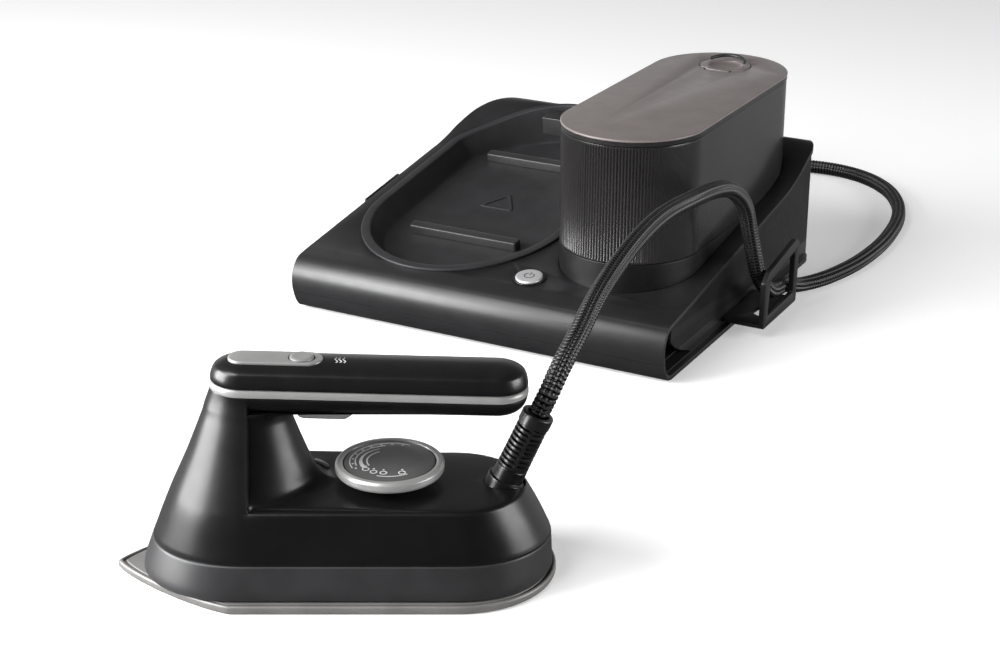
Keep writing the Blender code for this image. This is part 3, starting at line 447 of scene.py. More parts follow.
def mesh_from(name, build, at):
    """Run a build in millimetres and link the object at its frame."""
    bm = bmesh.new()
    build(bm)
    bmesh.ops.remove_doubles(bm, verts=bm.verts, dist=0.002)
    bmesh.ops.recalc_face_normals(bm, faces=bm.faces)
    bmesh.ops.scale(bm, vec=(MM, MM, MM), verts=bm.verts)
    data = bpy.data.meshes.new(name)
    bm.to_mesh(data)
    bm.free()
    obj = linked(name, data)
    obj.matrix_world = at
    return obj


def settle(obj):
    """Apply every modifier."""
    bpy.context.view_layer.update()
    depsgraph = bpy.context.evaluated_depsgraph_get()
    data = bpy.data.meshes.new_from_object(obj.evaluated_get(depsgraph))
    obj.modifiers.clear()
    obj.data = data
    return obj


def carve(obj, tools, operation="DIFFERENCE"):
    """Exact booleans with (build, frame) tools, which are removed afterwards."""
    made = []
    for n, (build, at) in enumerate(tools):
        tool = mesh_from(f"tool_{n}", build, at)
        made.append(tool)
        step = obj.modifiers.new("cut", "BOOLEAN")
        step.operation = operation
        step.solver = "EXACT"
        step.object = tool
    settle(obj)
    for tool in made:
        bpy.data.objects.remove(tool, do_unlink=True)
    return obj


def soften(obj, width, segments=2, angle=32.0):
    """A small bevel on every sharp edge."""
    weld = obj.modifiers.new("weld", "WELD")
    weld.merge_threshold = 0.00001
    step = obj.modifiers.new("bevel", "BEVEL")
    step.width = width * MM
    step.segments = segments
    step.limit_method = "ANGLE"
    step.angle_limit = math.radians(angle)
    step.use_clamp_overlap = True
    step.harden_normals = False
    return settle(obj)


def piece(name, build, at, look, host, stands=True, cuts=(), bevel=0.0, angle=35.0,
          segments=2, also=()):
    """A finished piece that rides on its host CAD node's body, and stands for it if told to."""
    obj = mesh_from(name, build, at)
    if cuts:
        carve(obj, cuts)
    if bevel:
        soften(obj, bevel, segments)
    dress(obj, look, host, stands, angle, also)
    return obj


def dress(obj, look, host, stands=True, angle=35.0, also=()):
    """Shading, material and body of a finished mesh."""
    obj.data.shade_smooth()
    obj.data.set_sharp_from_angle(angle=math.radians(angle))
    obj.data.materials.clear()
    obj.data.materials.append(LOOK[look])
    for face in obj.data.polygons:
        face.material_index = 0
    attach(obj, frame["nodes"][host]["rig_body"])
    if stands:
        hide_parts(host, *also)


# ---------------------------------------------------------------- outlines
def hull(x_front, x_a, half_a, x_b, half_b, x_rear, z, power=2.0):
    """A pointed-oval ring: curved nose, straight flanks and a round heel."""
    nose, flank, heel = 26, 8, 22
    right = []
    for i in range(nose + 1):
        angle = math.pi / 2 * i / nose
        right.append((x_a - (x_a - x_front) * abs(math.cos(angle)) ** (2 / power),
                      half_a * math.sin(angle) ** (2 / power)))
    for k in range(1, flank):
        right.append((mix(x_a, x_b, k / flank), mix(half_a, half_b, k / flank)))
    for i in range(heel + 1):
        angle = math.pi / 2 * i / heel
        right.append((x_b + (x_rear - x_b) * math.sin(angle), half_b * math.cos(angle)))
    right[-1] = (x_rear, 0.0)
    left = [(x, -y) for x, y in reversed(right[1:-1])]
    return [(x, y, z) for x, y in right + left]


def slot_outline(x0, x1, y0, y1, front_r, back_r, count=14):
    """A rounded rectangle whose front and back corners differ."""
    corners = ((x1, y0, front_r, -90), (x1, y1, back_r, 0),
               (x0, y1, back_r, 90), (x0, y0, front_r, 180))
    points = []
    for x, y, r, start in corners:
        cx = x - r if x == x1 else x + r
        cy = y + r if y == y0 else y - r
        points += [polar(r, math.radians(start + 90 * i / count), cx, cy)
                   for i in range(count + 1)]
    return points


def lift(outline, z):
    return [(x, y, z) for x, y in outline]


# ---------------------------------------------------------------- hose, first of all
HOSE_R = 5.3
COIL_X, COIL_Y, COIL_R = 115.0, 350.0, 55.0
LAYERS = (5.6, 16.3, 27.0)
ROUTE = [(305.8, -226, 106), (303.5, -204, 113.5), (297.5, -167, 122.5), (290.5, -115, 128.5),
         (284, -62, 128), (280.8, -10, 122.5), (280.5, 30, 117), (280.5, 55, 108.5),
         (280.5, 76, 92.5), (280.3, 90, 67), (281, 105, 38), (281, 127, 20), (282, 152, 15.5),
         (284.5, 176, 8), (293, 201, 5.8), (301, 232, 5.6), (304.6, 264, 5.6),
         (304.6, 297, 5.6), (300, 336, 5.6), (291, 368, 5.6), (277, 396, 5.6),
         (261, 415, 5.6), (243, 428, 5.6), (222, 435, 5.6), (200, 435, 5.6), (178, 429, 5.6),
         (157, 421, 5.6)]
TAIL = [(60, 336, 27), (60, 319, 27), (60, 302, 24.4), (60, 287, 20), (60, 278.3, 20)]


def coil_height(angle):
    """Each turn lies flat, and climbs onto the one before it just before they would meet."""
    for base, (a, b) in ((0, (300, 425)), (1, (660, 785))):
        if angle < b:
            t = min(1.0, max(0.0, (angle - a) / (b - a)))
            return mix(LAYERS[base], LAYERS[base + 1], t * t * (3 - 2 * t))
    return LAYERS[2]


coil = []
for angle in range(112, 901, 12):
    turn = math.radians(angle)
    coil.append((*polar(COIL_R, turn, COIL_X, COIL_Y), coil_height(angle)))
exit_point = BOOT @ Vector((0, 0, 40.3 * MM))
beyond = BOOT @ Vector((0, 0, 52.3 * MM))
knots = [exit_point, beyond] + [STATION @ (Vector(p) * MM) for p in ROUTE + coil + TAIL]
dense = smooth_line(knots, 24)
lengths = [0.0]
for p, q in zip(dense, dense[1:]):
    lengths.append(lengths[-1] + (q - p).length)
HOSE_LENGTH = lengths[-1]


def along_hose(distances):
    """Points of the hose line at rising distances."""
    out, n = [], 0
    for want in distances:
        while n < len(dense) - 2 and lengths[n + 1] < want:
            n += 1
        span = lengths[n + 1] - lengths[n]
        out.append(dense[n].lerp(dense[n + 1], (want - lengths[n]) / span))
    return out


SEEN = 0.86                      # the hose is ribbed finely as far as the back of the station
places, here = [], 0.0
while here < HOSE_LENGTH:
    places.append(here)
    here += RIB_PITCH / 6 if here < SEEN else RIB_PITCH / 2
places.append(HOSE_LENGTH)
centres = along_hose(places)


def hose_mesh():
    """A sleeve of fine cross ribs over a hose, with the lengthwise fold of its inner lead."""
    sides = 48
    data = bpy.data.meshes.new("hose_sleeve")
    bm = bmesh.new()
    uv = bm.loops.layers.uv.new("along")
    rows = frames_along(centres)
    rings = []
    for s, (centre, side, up) in zip(places, rows):
        rib = abs(math.sin(math.pi * s / RIB_PITCH))
        ring = []
        for i in range(sides):
            angle = TURN * i / sides
            lobe = abs(math.sin(3 * (angle + 0.35 * math.sin(s * 9)) + 0.5))
            fold = 0.95 * (1 - lobe) ** 2.0 + 0.25 * (1 - lobe)
            radius = (HOSE_R - 0.02 - 0.62 * (1 - rib) ** 1.3 - fold) * MM
            ring.append(bm.verts.new(centre + (side * math.cos(angle) + up * math.sin(angle))
                                     * radius))
        rings.append(ring)
    for n, (a, b) in enumerate(zip(rings, rings[1:])):
        for i in range(sides):
            j = (i + 1) % sides
            face = bm.faces.new((a[i], a[j], b[j], b[i]))
            corners = ((i, n), (i + 1, n), (i + 1, n + 1), (i, n + 1))
            for loop, (u, v) in zip(face.loops, corners):
                loop[uv].uv = (u / sides, places[v])
    bm.faces.new(rings[0])
    bm.faces.new(rings[-1])
    bmesh.ops.recalc_face_normals(bm, faces=bm.faces)
    bm.to_mesh(data)
    bm.free()
    data.shade_smooth()
    data.materials.append(LOOK["braid"])
    return linked("hose_sleeve", data)


hose = hose_mesh()
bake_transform(hose)
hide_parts("hose_run", "hose_coil", "hose_tail")
[tuple(p) for p in along_hose([k * 0.004 for k in range(int(HOSE_LENGTH / 0.004))]
                                           + [HOSE_LENGTH])]

# ---------------------------------------------------------------- hand iron: sole and skirt
SOLE_LONG, SOLE_HALF, SHOULDER_X, AFT_X = 219.0, 47.4, 61.0, 171.6
SOLE_POINT = 1.22                # below 2 the nose comes to a point


def sole_ring(inset, z):
    half = SOLE_HALF - inset
    return hull(1.41 * inset, SHOULDER_X, half, AFT_X, half, SOLE_LONG - inset, z, SOLE_POINT)


HOLES = [(58, 0), (64, 7), (64, -7), (73, 11), (73, -11), (84, 13), (84, -13),
         (150, 10), (150, -10), (166, 0)]
sole_holes = [(turned([(0, -2), (2.1, -2), (2.1, 0.0), (1.6, 0.6), (1.6, 11), (0, 11)], False,
                      20), IRON @ shift(x, y, 0)) for x, y in HOLES]
piece("sole_plate", loft([sole_ring(i, z) for i, z in (
    (1.3, 0.0), (0.75, 0.12), (0.3, 0.45), (0.06, 0.95), (0.0, 1.6), (0.0, 2.9), (0.08, 3.5),
    (0.3, 3.95), (0.7, 4.22), (1.2, 4.3), (1.55, 4.18), (1.75, 3.8), (1.8, 3.1), (2.9, 3.1),
    (2.95, 3.8), (3.15, 4.1), (3.5, 4.2))]), IRON, "sole_rim", "soleplate", cuts=sole_holes)

SKIRT = [(13.6, 43.4, 4.9, 217.2), (14.3, 43.1, 8.8, 217.0), (19.0, 40.3, 22.0, 216.4)]


def skirt_ring(z, inset=0.0):
    """The skirt's wall at a height, moved inwards."""
    f, h, r = (read([(row[2], row[n]) for row in SKIRT], z) for n in (0, 1, 3))
    return hull(f + inset * 1.18, f + 48, h - inset, AFT_X, h - inset, r - inset, z)


skirt_rings = [skirt_ring(4.9, 0.7), skirt_ring(5.05, 0.25), skirt_ring(5.4)]
skirt_rings += [skirt_ring(z) for z in (7, 8.8, 10.5, 12.5, 15, 18, 20.5, 21.3)]
skirt_rings += [skirt_ring(21.75, 0.14), skirt_ring(22.0, 0.55)]
skirt_rings += [skirt_ring(22.0, 2.2), skirt_ring(8.8, 2.2), skirt_ring(4.9, 2.2)]
piece("skirt_wall", loft(skirt_rings, wrap=True), IRON, "skirt", "skirt")

# ---------------------------------------------------------------- hand iron: body
CREASE = 70.3
FLANK, HEEL = 10, 26
FRONT_X = [(22.3, 19.2), (45.5, 28.6), (66, 38.0), (85.4, 46.0), (98.5, 51.2)]
FRONT_HALF = [(22.3, 40.0), (34, 37.4), (44, 35.05), (50, 32.8), (66, 26.6), (80, 21.5),
              (90, 17.5), (95, 15.95), (98.5, 15.5)]


def aft_flank(side, x_heel, x_rear):
    start = CREASE + 0.7
    points = [(mix(start, x_heel, k / FLANK), side) for k in range(FLANK)]
    for i in range(HEEL + 1):
        angle = math.pi / 2 * i / HEEL
        points.append((x_heel + (x_rear - x_heel) * math.sin(angle), side * math.cos(angle)))
    return points


def aft_neck(side, x_rear, power=1.65):
    start = CREASE + 0.7
    points = []
    for i in range(FLANK + HEEL + 1):
        angle = math.pi / 2 * i / (FLANK + HEEL)
        points.append((start + (x_rear - start) * math.sin(angle) ** (2 / power),
                       side * abs(math.cos(angle)) ** (2 / power)))
    return points


def between(a, b, t):
    return [(mix(p[0], q[0], t), mix(p[1], q[1], t)) for p, q in zip(a, b)]


def body_ring(z, aft, slope=0.0, front=None, half=None, nose_z=None):
    """The nose wall back to the crease, then the aft outline."""
    nose_z = z if nose_z is None else nose_z
    front = read(FRONT_X, nose_z) if front is None else front
    half = read(FRONT_HALF, nose_z) if half is None else half
    nose = 24
    right = []
    for i in range(nose + 1):
        angle = math.pi / 2 * i / nose
        right.append((CREASE - (CREASE - front) * math.cos(angle), half * math.sin(angle)))
    right += aft
    right[-1] = (aft[-1][0], 0.0)
    left = [(x, -y) for x, y in reversed(right[1:-1])]
    return [(x, y, z - slope * (x - PIVOT_X)) for x, y in right + left]


SLOPE = math.tan(HANDLE_TILT)
SIDE = [(22.3, 40.0), (34, 37.4), (45.4, 34.85), (47.6, 34.3)]
HEEL_X = [(22.3, 171.6), (34, 170.5), (45.4, 168.5), (47.6, 168.0)]
REAR_X = [(22.3, 216.2), (34, 211.0), (45.4, 204.9), (47.6, 203.7)]
body_rings = [body_ring(22.3, aft_flank(39.4, 171.6, 215.6), front=19.9, half=39.4),
              body_ring(22.45, aft_flank(39.82, 171.6, 216.05), front=19.4, half=39.82)]
for z in (22.9, 25, 28, 31, 34, 37, 40, 43, 45.4):
    body_rings.append(body_ring(z, aft_flank(read(SIDE, z), read(HEEL_X, z), read(REAR_X, z))))
DECK_LIP = 47.68
CROWN = 1.75                     # how far the deck swells towards the neck
NECK_FOOT = DECK_LIP + CROWN
lip = [(46.3, 0.0), (46.9, 0.22), (47.3, 0.6), (47.55, 1.1), (DECK_LIP, 1.7)]
for z, inset in lip:
    body_rings.append(body_ring(z, aft_flank(read(SIDE, z) - inset, read(HEEL_X, z) - inset / 2,
                                             read(REAR_X, z) - inset)))
deck_edge = aft_flank(34.3 - 1.7, 167.2, 202.0)
NECK = [(49.4, 31.6), (53.5, 28.6), (66, 23.6), (80, 18.6), (85.4, 16.4)]
NECK_REAR = [(49.4, 105.0), (53.5, 102.0), (66, 96.9), (80, 91.8), (85.4, 90.0)]


def neck_at(z, grow=0.0):
    return aft_neck(read(NECK, z) + grow, read(NECK_REAR, z) + grow)


SWEEP = [(i / (FLANK + HEEL)) ** 1.5 for i in range(FLANK + HEEL + 1)]


def neck_foot(turn):
    """A ring of the fillet round the neck's foot, small at the crease and wide at the rear."""
    points, heights = [], []
    for i, sweep in enumerate(SWEEP):
        height = (1.0 + 8.0 * sweep) * (1 - math.cos(turn))
        out = (1.0 + 5.5 * sweep) * (1 - math.sin(turn))
        points.append(neck_at(49.5 + height, out)[i])
        heights.append(height)
    return points, heights


def set_heights(ring, heights):
    """Lift the aft points of a body ring one by one."""
    for i, height in enumerate(heights):
        for n in {25 + i, len(ring) - 25 - i}:
            x, y, z = ring[n]
            ring[n] = (x, y, z + height)
    return ring


foot = neck_foot(0.0)[0]
spans = [math.dist(p, q) for p, q in zip(deck_edge, foot)]
shy = [1 - min(1.0, span / 14) ** 2 for span in spans]
for t in (0.03, 0.08, 0.15, 0.25, 0.4, 0.55, 0.7, 0.85, 1.0):
    crown = CROWN * math.sin(t * math.pi / 2)
    body_rings.append(set_heights(body_ring(DECK_LIP + crown, between(deck_edge, foot, t)),
                                  [-crown * k for k in shy]))
for degrees in (18, 36, 54, 72, 90):
    turn = math.radians(degrees)
    points, heights = neck_foot(turn)
    level = NECK_FOOT + 1.0 * (1 - math.cos(turn))
    body_rings.append(set_heights(body_ring(level, points), [
        NECK_FOOT + height - CROWN * k * (1 - math.sin(turn)) - level
        for height, k in zip(heights, shy)]))
for k in (1, 2, 3):
    z = mix(NECK_FOOT + 1.0, 60.0, k / 3)
    last = 1 - k / 3
    rise = [8.0 * sweep * last for sweep in SWEEP]
    body_rings.append(set_heights(body_ring(z, [neck_at(z + r)[i] for i, r in enumerate(rise)]),
                                  rise))
for z in (64, 68, 72, 76, 80, 83):
    body_rings.append(body_ring(z, neck_at(z)))
UNDER = 0.022
neck_top = neck_at(85.4)
under = aft_flank(9.6, 188.0, 197.4)
for z, t in ((86.2, 0.0), (88.0, 0.006), (89.2, 0.018), (90.0, 0.045), (90.25, 0.09)):
    body_rings.append(body_ring(z, between(neck_top, under, t), slope=UNDER * min(1, t * 40)))
for t in (0.2, 0.4, 0.6, 0.8, 1.0):
    body_rings.append(body_ring(90.3, between(neck_top, under, t), slope=UNDER))
for z, side, rear, slope in ((90.45, 10.9, 198.9, UNDER), (90.9, 12.2, 200.3, 0.0225),
                             (91.7, 13.3, 201.5, 0.023), (92.9, 14.2, 202.7, 0.0235),
                             (94.6, 14.95, 203.6, 0.0245), (96.4, 15.35, 204.2, 0.026),
                             (97.9, 15.5, 204.5, SLOPE), (98.3, 15.4, 204.4, SLOPE),
                             (98.5, 15.05, 204.05, SLOPE)):
    grip = min(side, read(FRONT_HALF, z))
    body_rings.append(body_ring(z, aft_flank(grip, 189.0, rear), slope=slope,
                                half=min(read(FRONT_HALF, z), 15.05) if z > 98.4 else None))
inner = [(98.5, aft_flank(13.2, 188.0, 202.0), SLOPE, 53.6, 13.2),
         (95.0, aft_flank(11.6, 187.0, 200.0), 0.024, 52.0, 13.8),
         (92.8, aft_flank(8.6, 185.0, 195.6), UNDER, 51.4, 14.4),
         (92.6, aft_neck(9.6, 86.0), UNDER, 51.2, 14.6),
         (88.4, aft_neck(12.6, 86.6), 0.0, 50.0, 16.2),
         (80.0, aft_neck(15.4, 87.6), 0.0, 47.0, 18.4),
         (66.0, aft_neck(20.4, 92.6), 0.0, 41.4, 23.4),
         (53.2, aft_neck(25.4, 97.6), 0.0, 35.6, 28.2),
         (47.0, aft_neck(27.8, 101.6), 0.0, 33.8, 30.2),
         (45.0, aft_flank(31.2, 167.0, 199.6), 0.0, 32.6, 31.4),
         (34.0, aft_flank(35.0, 169.5, 208.6), 0.0, 26.6, 35.0),
         (22.3, aft_flank(37.6, 170.6, 213.6), 0.0, 22.2, 37.6)]
body_rings += [body_ring(z, aft, slope, front, half) for z, aft, slope, front, half in inner]

LENS = [(98.2, 19.5), (101.1, 16.9), (103.6, 14.1), (105.5, 11.0)]


def crescent(half, low, high):
    """A bar along the indicator's gentle curve."""
    line = smooth_line([(x, y, 0) for x, y in LENS], 5)
    left, right = [], []
    for n, p in enumerate(line):
        ahead = (line[min(n + 1, len(line) - 1)] - line[max(n - 1, 0)]).normalized()
        t = n / (len(line) - 1)
        wide = half * (0.35 + 0.65 * math.sin(math.pi * (0.08 + 0.84 * t)) ** 0.5)
        side = Vector((-ahead.y, ahead.x, 0)) * wide
        left.append(tuple(p + side)[:2])
        right.append(tuple(p - side)[:2])
    return prism(left + right[::-1], low, high)


piece("iron_body", loft(body_rings, wrap=True), IRON, "body", "body_shell", cuts=[
    (drill(4.6, 40, 58, 24), DIAL),
    (drill(9.9, -9, 12, 32), BOOT),
    (block((-2.0, -5.6, 80.0), (28.0, 5.6, 96.0)), HANDLE),
    (crescent(1.75, 44.0, 60.0), IRON)])
piece("indicator_window", crescent(1.45, 45.4, 50.7), IRON, "lens", "indicator_lens",
      bevel=0.3)

# ---------------------------------------------------------------- hand iron: handle
def handle_ring(x_front, half, x_rear, z):
    ring = hull(x_front, x_front + half, half, x_rear - half, half, x_rear, z)
    return [(x - PIVOT_X, y, z) for x, y, z in ring]


band_side = [(13.0, 98.8), (15.4, 98.8), (15.75, 98.95), (15.95, 99.3), (16.0, 99.7),
             (16.0, 100.9), (15.85, 101.4), (15.45, 102.05), (15.0, 102.6), (14.6, 102.8),
             (13.0, 102.8)]
piece("silver_band", loft([handle_ring(66.9 - r, r, 188.9 + r, z) for r, z in band_side],
                          wrap=True), HANDLE, "silver", "handle_band")
COVER = [(51.6, 15.45, 204.4, 103.1), (51.35, 15.6, 204.6, 103.7), (51.4, 15.55, 204.5, 105.0),
         (51.75, 15.3, 204.2, 106.6), (52.4, 14.85, 203.7, 108.4), (53.0, 14.4, 203.2, 109.6),
         (53.6, 13.95, 202.8, 110.25), (54.6, 13.1, 202.0, 110.95), (56.2, 11.6, 200.7, 111.75),
         (58.4, 9.6, 198.8, 112.55), (61.2, 7.0, 196.2, 113.25), (64.5, 4.0, 193.0, 113.7),
         (68.0, 1.0, 190.0, 113.9)]
cover_rings = [handle_ring(*row) for row in COVER]
cover_inner = [handle_ring(f + 2.2, max(0.5, h - 2.2), r - 2.2, z - (0.0 if n == 0 else 2.2))
               for n, (f, h, r, z) in enumerate(COVER[::3])]
piece("handle_top", loft(cover_inner[::-1] + cover_rings), HANDLE, "gloss", "handle_cover",
      cuts=[(prism(slot_outline(-34.4, 12.4, -7.9, 7.9, 7.8, 7.8, 16), 106, 120), HANDLE)])
BUTTON = HANDLE @ shift(1.5, 0, 0)
pad_levels = [(0.0, 110.0), (0.0, 113.3), (0.12, 113.75), (0.45, 114.08), (1.0, 114.2)]
piece("pad_plate", loft([lift(slot_outline(-34 + i, 12 - i, -7.5 + i, 7.5 - i, 7.4 - i, 7.4 - i,
                                           16), z) for i, z in pad_levels]),
      HANDLE, "silver", "control_pad", cuts=[
          (turned([(0, 104), (6.3, 104), (6.3, 113.6), (6.7, 114.25), (6.7, 118), (0, 118)],
                  False, 64), BUTTON)])
piece("steam_key", turned([(0, 114.9), (2.5, 115.0), (4.4, 115.15), (5.2, 115.1), (5.75, 114.7),
                           (5.9, 114.0), (5.9, 109.0), (0, 109.0)], False), BUTTON,
      "silver", "steam_button")


def wave_line(x, y0, y1, z, amp=0.7, wide=0.32):
    """A small raised wave, printed flat."""
    centre = [(x + amp * math.sin(TURN * t / 12), mix(y0, y1, t / 12)) for t in range(13)]
    outline = [(a + wide, b) for a, b in centre] + [(a - wide, b) for a, b in centre[::-1]]
    return prism(outline, z, z + 0.08)


piece("pad_waves", several(*(wave_line(18.2 + 1.9 * k, -4.6, 1.2, 113.82)
                             for k in range(3))),
      HANDLE, "mark", "handle_cover", stands=False)
trigger_side = fillet([(-0.6, 84.8), (2.4, 83.7), (22.6, 83.7), (26.4, 86.4), (26.4, 94.6),
                       (-0.6, 94.6)], 2.2)
piece("steam_trigger", prism(trigger_side, -4.8, 4.8),
      HANDLE @ Matrix.Rotation(math.radians(90), 4, "X"), "grey", "trigger", bevel=1.3,
      segments=3)
SPRING_X, SPRING_FOOT, SPRING_TOP = 6.5, 95.4, 102.0
coil_points = [(*polar(1.9, TURN * t / 16, SPRING_X), mix(SPRING_FOOT, SPRING_TOP, t / 64))
               for t in range(65)]
trigger_coil = piece("trigger_coil", tube(coil_points, 0.4, 10), HANDLE, "steel",
                     "trigger_spring")
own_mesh(trigger_coil)

# ---------------------------------------------------------------- hand iron: dial
piece("dial_rim", turned([(22.9, 58.9), (24.0, 59.7), (25.6, 59.5), (26.9, 58.2), (26.9, 55.6),
                          (26.1, 54.2), (22.9, 54.2)], radius=0.9, count=128),
      DIAL, "ring", "dial_ring")
piece("dial_plate", turned([(0, 59.25), (15, 59.22), (21.4, 59.1), (22.3, 58.8), (22.5, 58.2),
                            (22.5, 54.4), (0, 54.4)], False, count=128),
      DIAL, "face", "dial_face")


PRINT = 0.07
ARC_STEPS = 28


def arc(radius, wide, start, end, z, taper=False):
    """A flat printed arc; a tapered one grows from nothing to its full width."""
    outer, near = [], []
    for i in range(ARC_STEPS + 1):
        t = i / ARC_STEPS
        angle = math.radians(mix(start, end, t))
        w = wide * (0.12 + 0.88 * t if taper else 1.0) / 2
        outer.append(polar(radius + w, angle))
        near.append(polar(radius - w, angle))
    return prism(outer + near[::-1], z, z + PRINT)


def dot(x, y, r, z):
    return prism([polar(r, TURN * i / 20, x, y) for i in range(20)], z, z + PRINT)


def outline_ring(x, y, r, wide, z):
    """A thin printed ring."""
    ring = turned([(r - wide, z), (r, z), (r, z + PRINT), (r - wide, z + PRINT)], count=24)

    def build(bm):
        before = set(bm.verts)
        ring(bm)
        bmesh.ops.translate(bm, vec=(x, y, 0), verts=[v for v in bm.verts if v not in before])
    return build


TOP = 59.24
marks = [arc(19.6, 0.6, 62, 205, TOP - 0.1), arc(16.9, 0.6, 100, 200, TOP - 0.04),
         arc(14.2, 2.2, 112, 214, TOP, taper=True), arc(11.2, 0.7, 120, 210, TOP)]
marks += [dot(*polar(18.2, math.radians(208 - 17 * k)), 0.6, TOP - 0.08) for k in range(9)]
for x, y in ((-11.2, -9.6), (-7.2, -12.6), (-2.4, -13.6), (6.6, -13.4)):
    marks.append(outline_ring(x, y, 1.9, 0.6, TOP))
    marks.append(dot(x, y + 3.2, 0.6, TOP))
marks.append(arc(17.6, 0.6, 252, 302, TOP))
piece("dial_marks", several(*marks), DIAL, "mark", "dial_face", stands=False)

# ---------------------------------------------------------------- hand iron: hose outlet
piece("boot_collar", turned([(0, 9.4), (7.6, 9.4), (7.9, 8.8), (8.0, 2.6), (9.4, 2.2),
                             (9.6, 1.4), (9.6, -8.0), (0, -8.0)], False, radius=0.4, count=96),
      BOOT, "gloss", "hose_collar")
SLOT_PITCH, SLOT_WIDE = 2.6, 1.35


def boot_radius(z, angle):
    """Staggered half slots up the strain relief, and a plain rim at its end."""
    outer = mix(7.8, 7.6, (z - 9.7) / 24)
    if z > 33.7:
        return mix(outer, 8.05, min(1.0, (z - 33.7) / 0.5))
    if z < 10.8:
        return outer
    cut = 0.0
    for centre, start in ((math.pi, 10.8), (0.0, 10.8 + SLOT_PITCH / 2)):
        level = (z - start) % SLOT_PITCH if z > start else SLOT_WIDE
        deep = min(1.0, level / 0.3, (SLOT_WIDE - level) / 0.3)
        off = abs((angle - centre + math.pi) % TURN - math.pi)
        side = min(1.0, max(0.0, (math.radians(86) - off) / math.radians(5)))
        cut = max(cut, max(0.0, deep) * side)
    return outer - 1.8 * cut


def boot_shape():
    count, levels = 96, [9.7]
    while levels[-1] < 38.9:
        levels.append(levels[-1] + (0.125 if levels[-1] < 34.4 else 0.9))

    def ring(z, scale=1.0, radius=None):
        return [(*polar((radius or boot_radius(z, angle)) * scale, angle), z)
                for angle in (TURN * i / count for i in range(count))]

    rings = [ring(z) for z in levels]
    rings += [ring(39.5), ring(39.8, 0.985), ring(40.0, 0.95), ring(40.0, radius=5.75),
              ring(36.0, radius=5.5)]
    return loft(rings)


piece("strain_relief", boot_shape(), BOOT, "boot", "hose_boot", angle=42)

# ---------------------------------------------------------------- station hull
WIDE, DEEP, SEAM = 266.0, 256.0, 14.4
SHELL, RECESS = 2.5, 4.0
FRONT_ROLL = [(3.6, 0.7), (-1.8, 2.5), (-5.9, 7.4), (-8.6, 14.0), (-9.8, 20.5), (-9.0, 27.0),
              (-5.8, 32.6), (-0.8, 36.4), (DECK_Y, DECK_Z)]
BACK_RISE = [(186.0, 63.8), (202.0, 67.6), (216.0, 72.6), (230.0, 79.4), (240.0, 83.6),
             (248.0, 85.4), (253.0, 84.4), (256.0, 80.6)]


def eased(points):
    """A side curve whose ends keep the slope of the straight deck."""
    step = Vector((math.cos(DECK_TILT), math.sin(DECK_TILT), 0)) * 8
    curve = [Vector((y, z, 0)) for y, z in points]
    if points[0][0] > 100:
        curve = [curve[0] - step] + curve
        return [(p.x, p.y) for p in smooth_line(curve, 5)]
    return [(p.x, p.y) for p in smooth_line(curve + [curve[-1] + step], 5)]


SIDE_VIEW = eased(FRONT_ROLL) + eased(BACK_RISE) + [(256.0, 0.7)]


def inset_outline(points, amount):
    """Move every edge of a closed outline inwards by the same amount."""
    area = sum(a[0] * b[1] - b[0] * a[1] for a, b in zip(points, points[1:] + points[:1]))
    side = 1.0 if area > 0 else -1.0
    out = []
    for n, point in enumerate(points):
        before, after = Vector(points[n - 1]), Vector(points[(n + 1) % len(points)])
        corner = Vector(point)
        d1, d2 = (corner - before).normalized(), (after - corner).normalized()
        n1, n2 = Vector((-d1.y, d1.x)) * side, Vector((-d2.y, d2.x)) * side
        between_edges = (n1 + n2).normalized()
        share = amount / max(0.3, between_edges.dot(n1))
        out.append(tuple(corner + between_edges * share))
    return out


def clip(points, above, z):
    """Keep the part of a side view above or below a height."""
    inside = (lambda p: p[1] >= z) if above else (lambda p: p[1] <= z)
    out = []
    for a, b in zip(points, points[1:] + points[:1]):
        if inside(a):
            out.append(a)
        if inside(a) != inside(b):
            t = (z - a[1]) / (b[1] - a[1])
            out.append((mix(a[0], b[0], t), z))
    return out


def plan(inset):
    """The station's plan: square front, rounded back corners."""
    left, right, back = inset, WIDE - inset, DEEP - inset
    if inset:
        right -= RECESS
    points = [(left, -40.0), (right, -40.0)]
    for cx, cy, r, start in ((right - 20 + inset, back - 20 + inset, 20 - inset, 0),
                             (left + 52 - inset, back - 52 + inset, 52 - inset, 90)):
        points += [polar(r, math.radians(start + 90 * i / 16), cx, cy) for i in range(17)]
    return points


CRADLE_X, CRADLE_HALF = 80.0, 72.0
CRADLE_FRONT, CRADLE_TIP = -0.3, 245.0
CRADLE_ROUND, CRADLE_TAPER = 82.0, 183.0
BUTTON_AT = (158.0, 15.6)
RISE = [((y - DECK_Y) * math.cos(DECK_TILT) + (z - DECK_Z) * math.sin(DECK_TILT),
         (z - DECK_Z) * math.cos(DECK_TILT) - (y - DECK_Y) * math.sin(DECK_TILT))
        for y, z in eased(BACK_RISE)]


def deck_rise(y):
    """How far the deck's back stands above the deck plane."""
    for (y0, z0), (y1, z1) in zip(RISE, RISE[1:]):
        if y0 <= y <= y1:
            return max(0.0, mix(z0, z1, (y - y0) / (y1 - y0)))
    return 0.0


def cradle_outline(inset):
    """The iron-shaped plan of the cradle, moved inwards; its nose points to the back."""
    tip = CRADLE_TIP - 0.62 * inset
    half = CRADLE_HALF - inset
    ring = hull(0.0, tip - CRADLE_TAPER, half, tip - CRADLE_ROUND, half,
                tip - CRADLE_FRONT - inset, 0.0, 1.4)
    return [(CRADLE_X + y, tip - x) for x, y, _ in ring]


def pan_ring(inset, z, follow=0.0):
    """The cradle's outline moved in; a following ring rises with the deck's back."""
    return [(x, y, z + follow * (deck_rise(y) + 0.3 * min(1.0, deck_rise(y))))
            for x, y in cradle_outline(inset)]


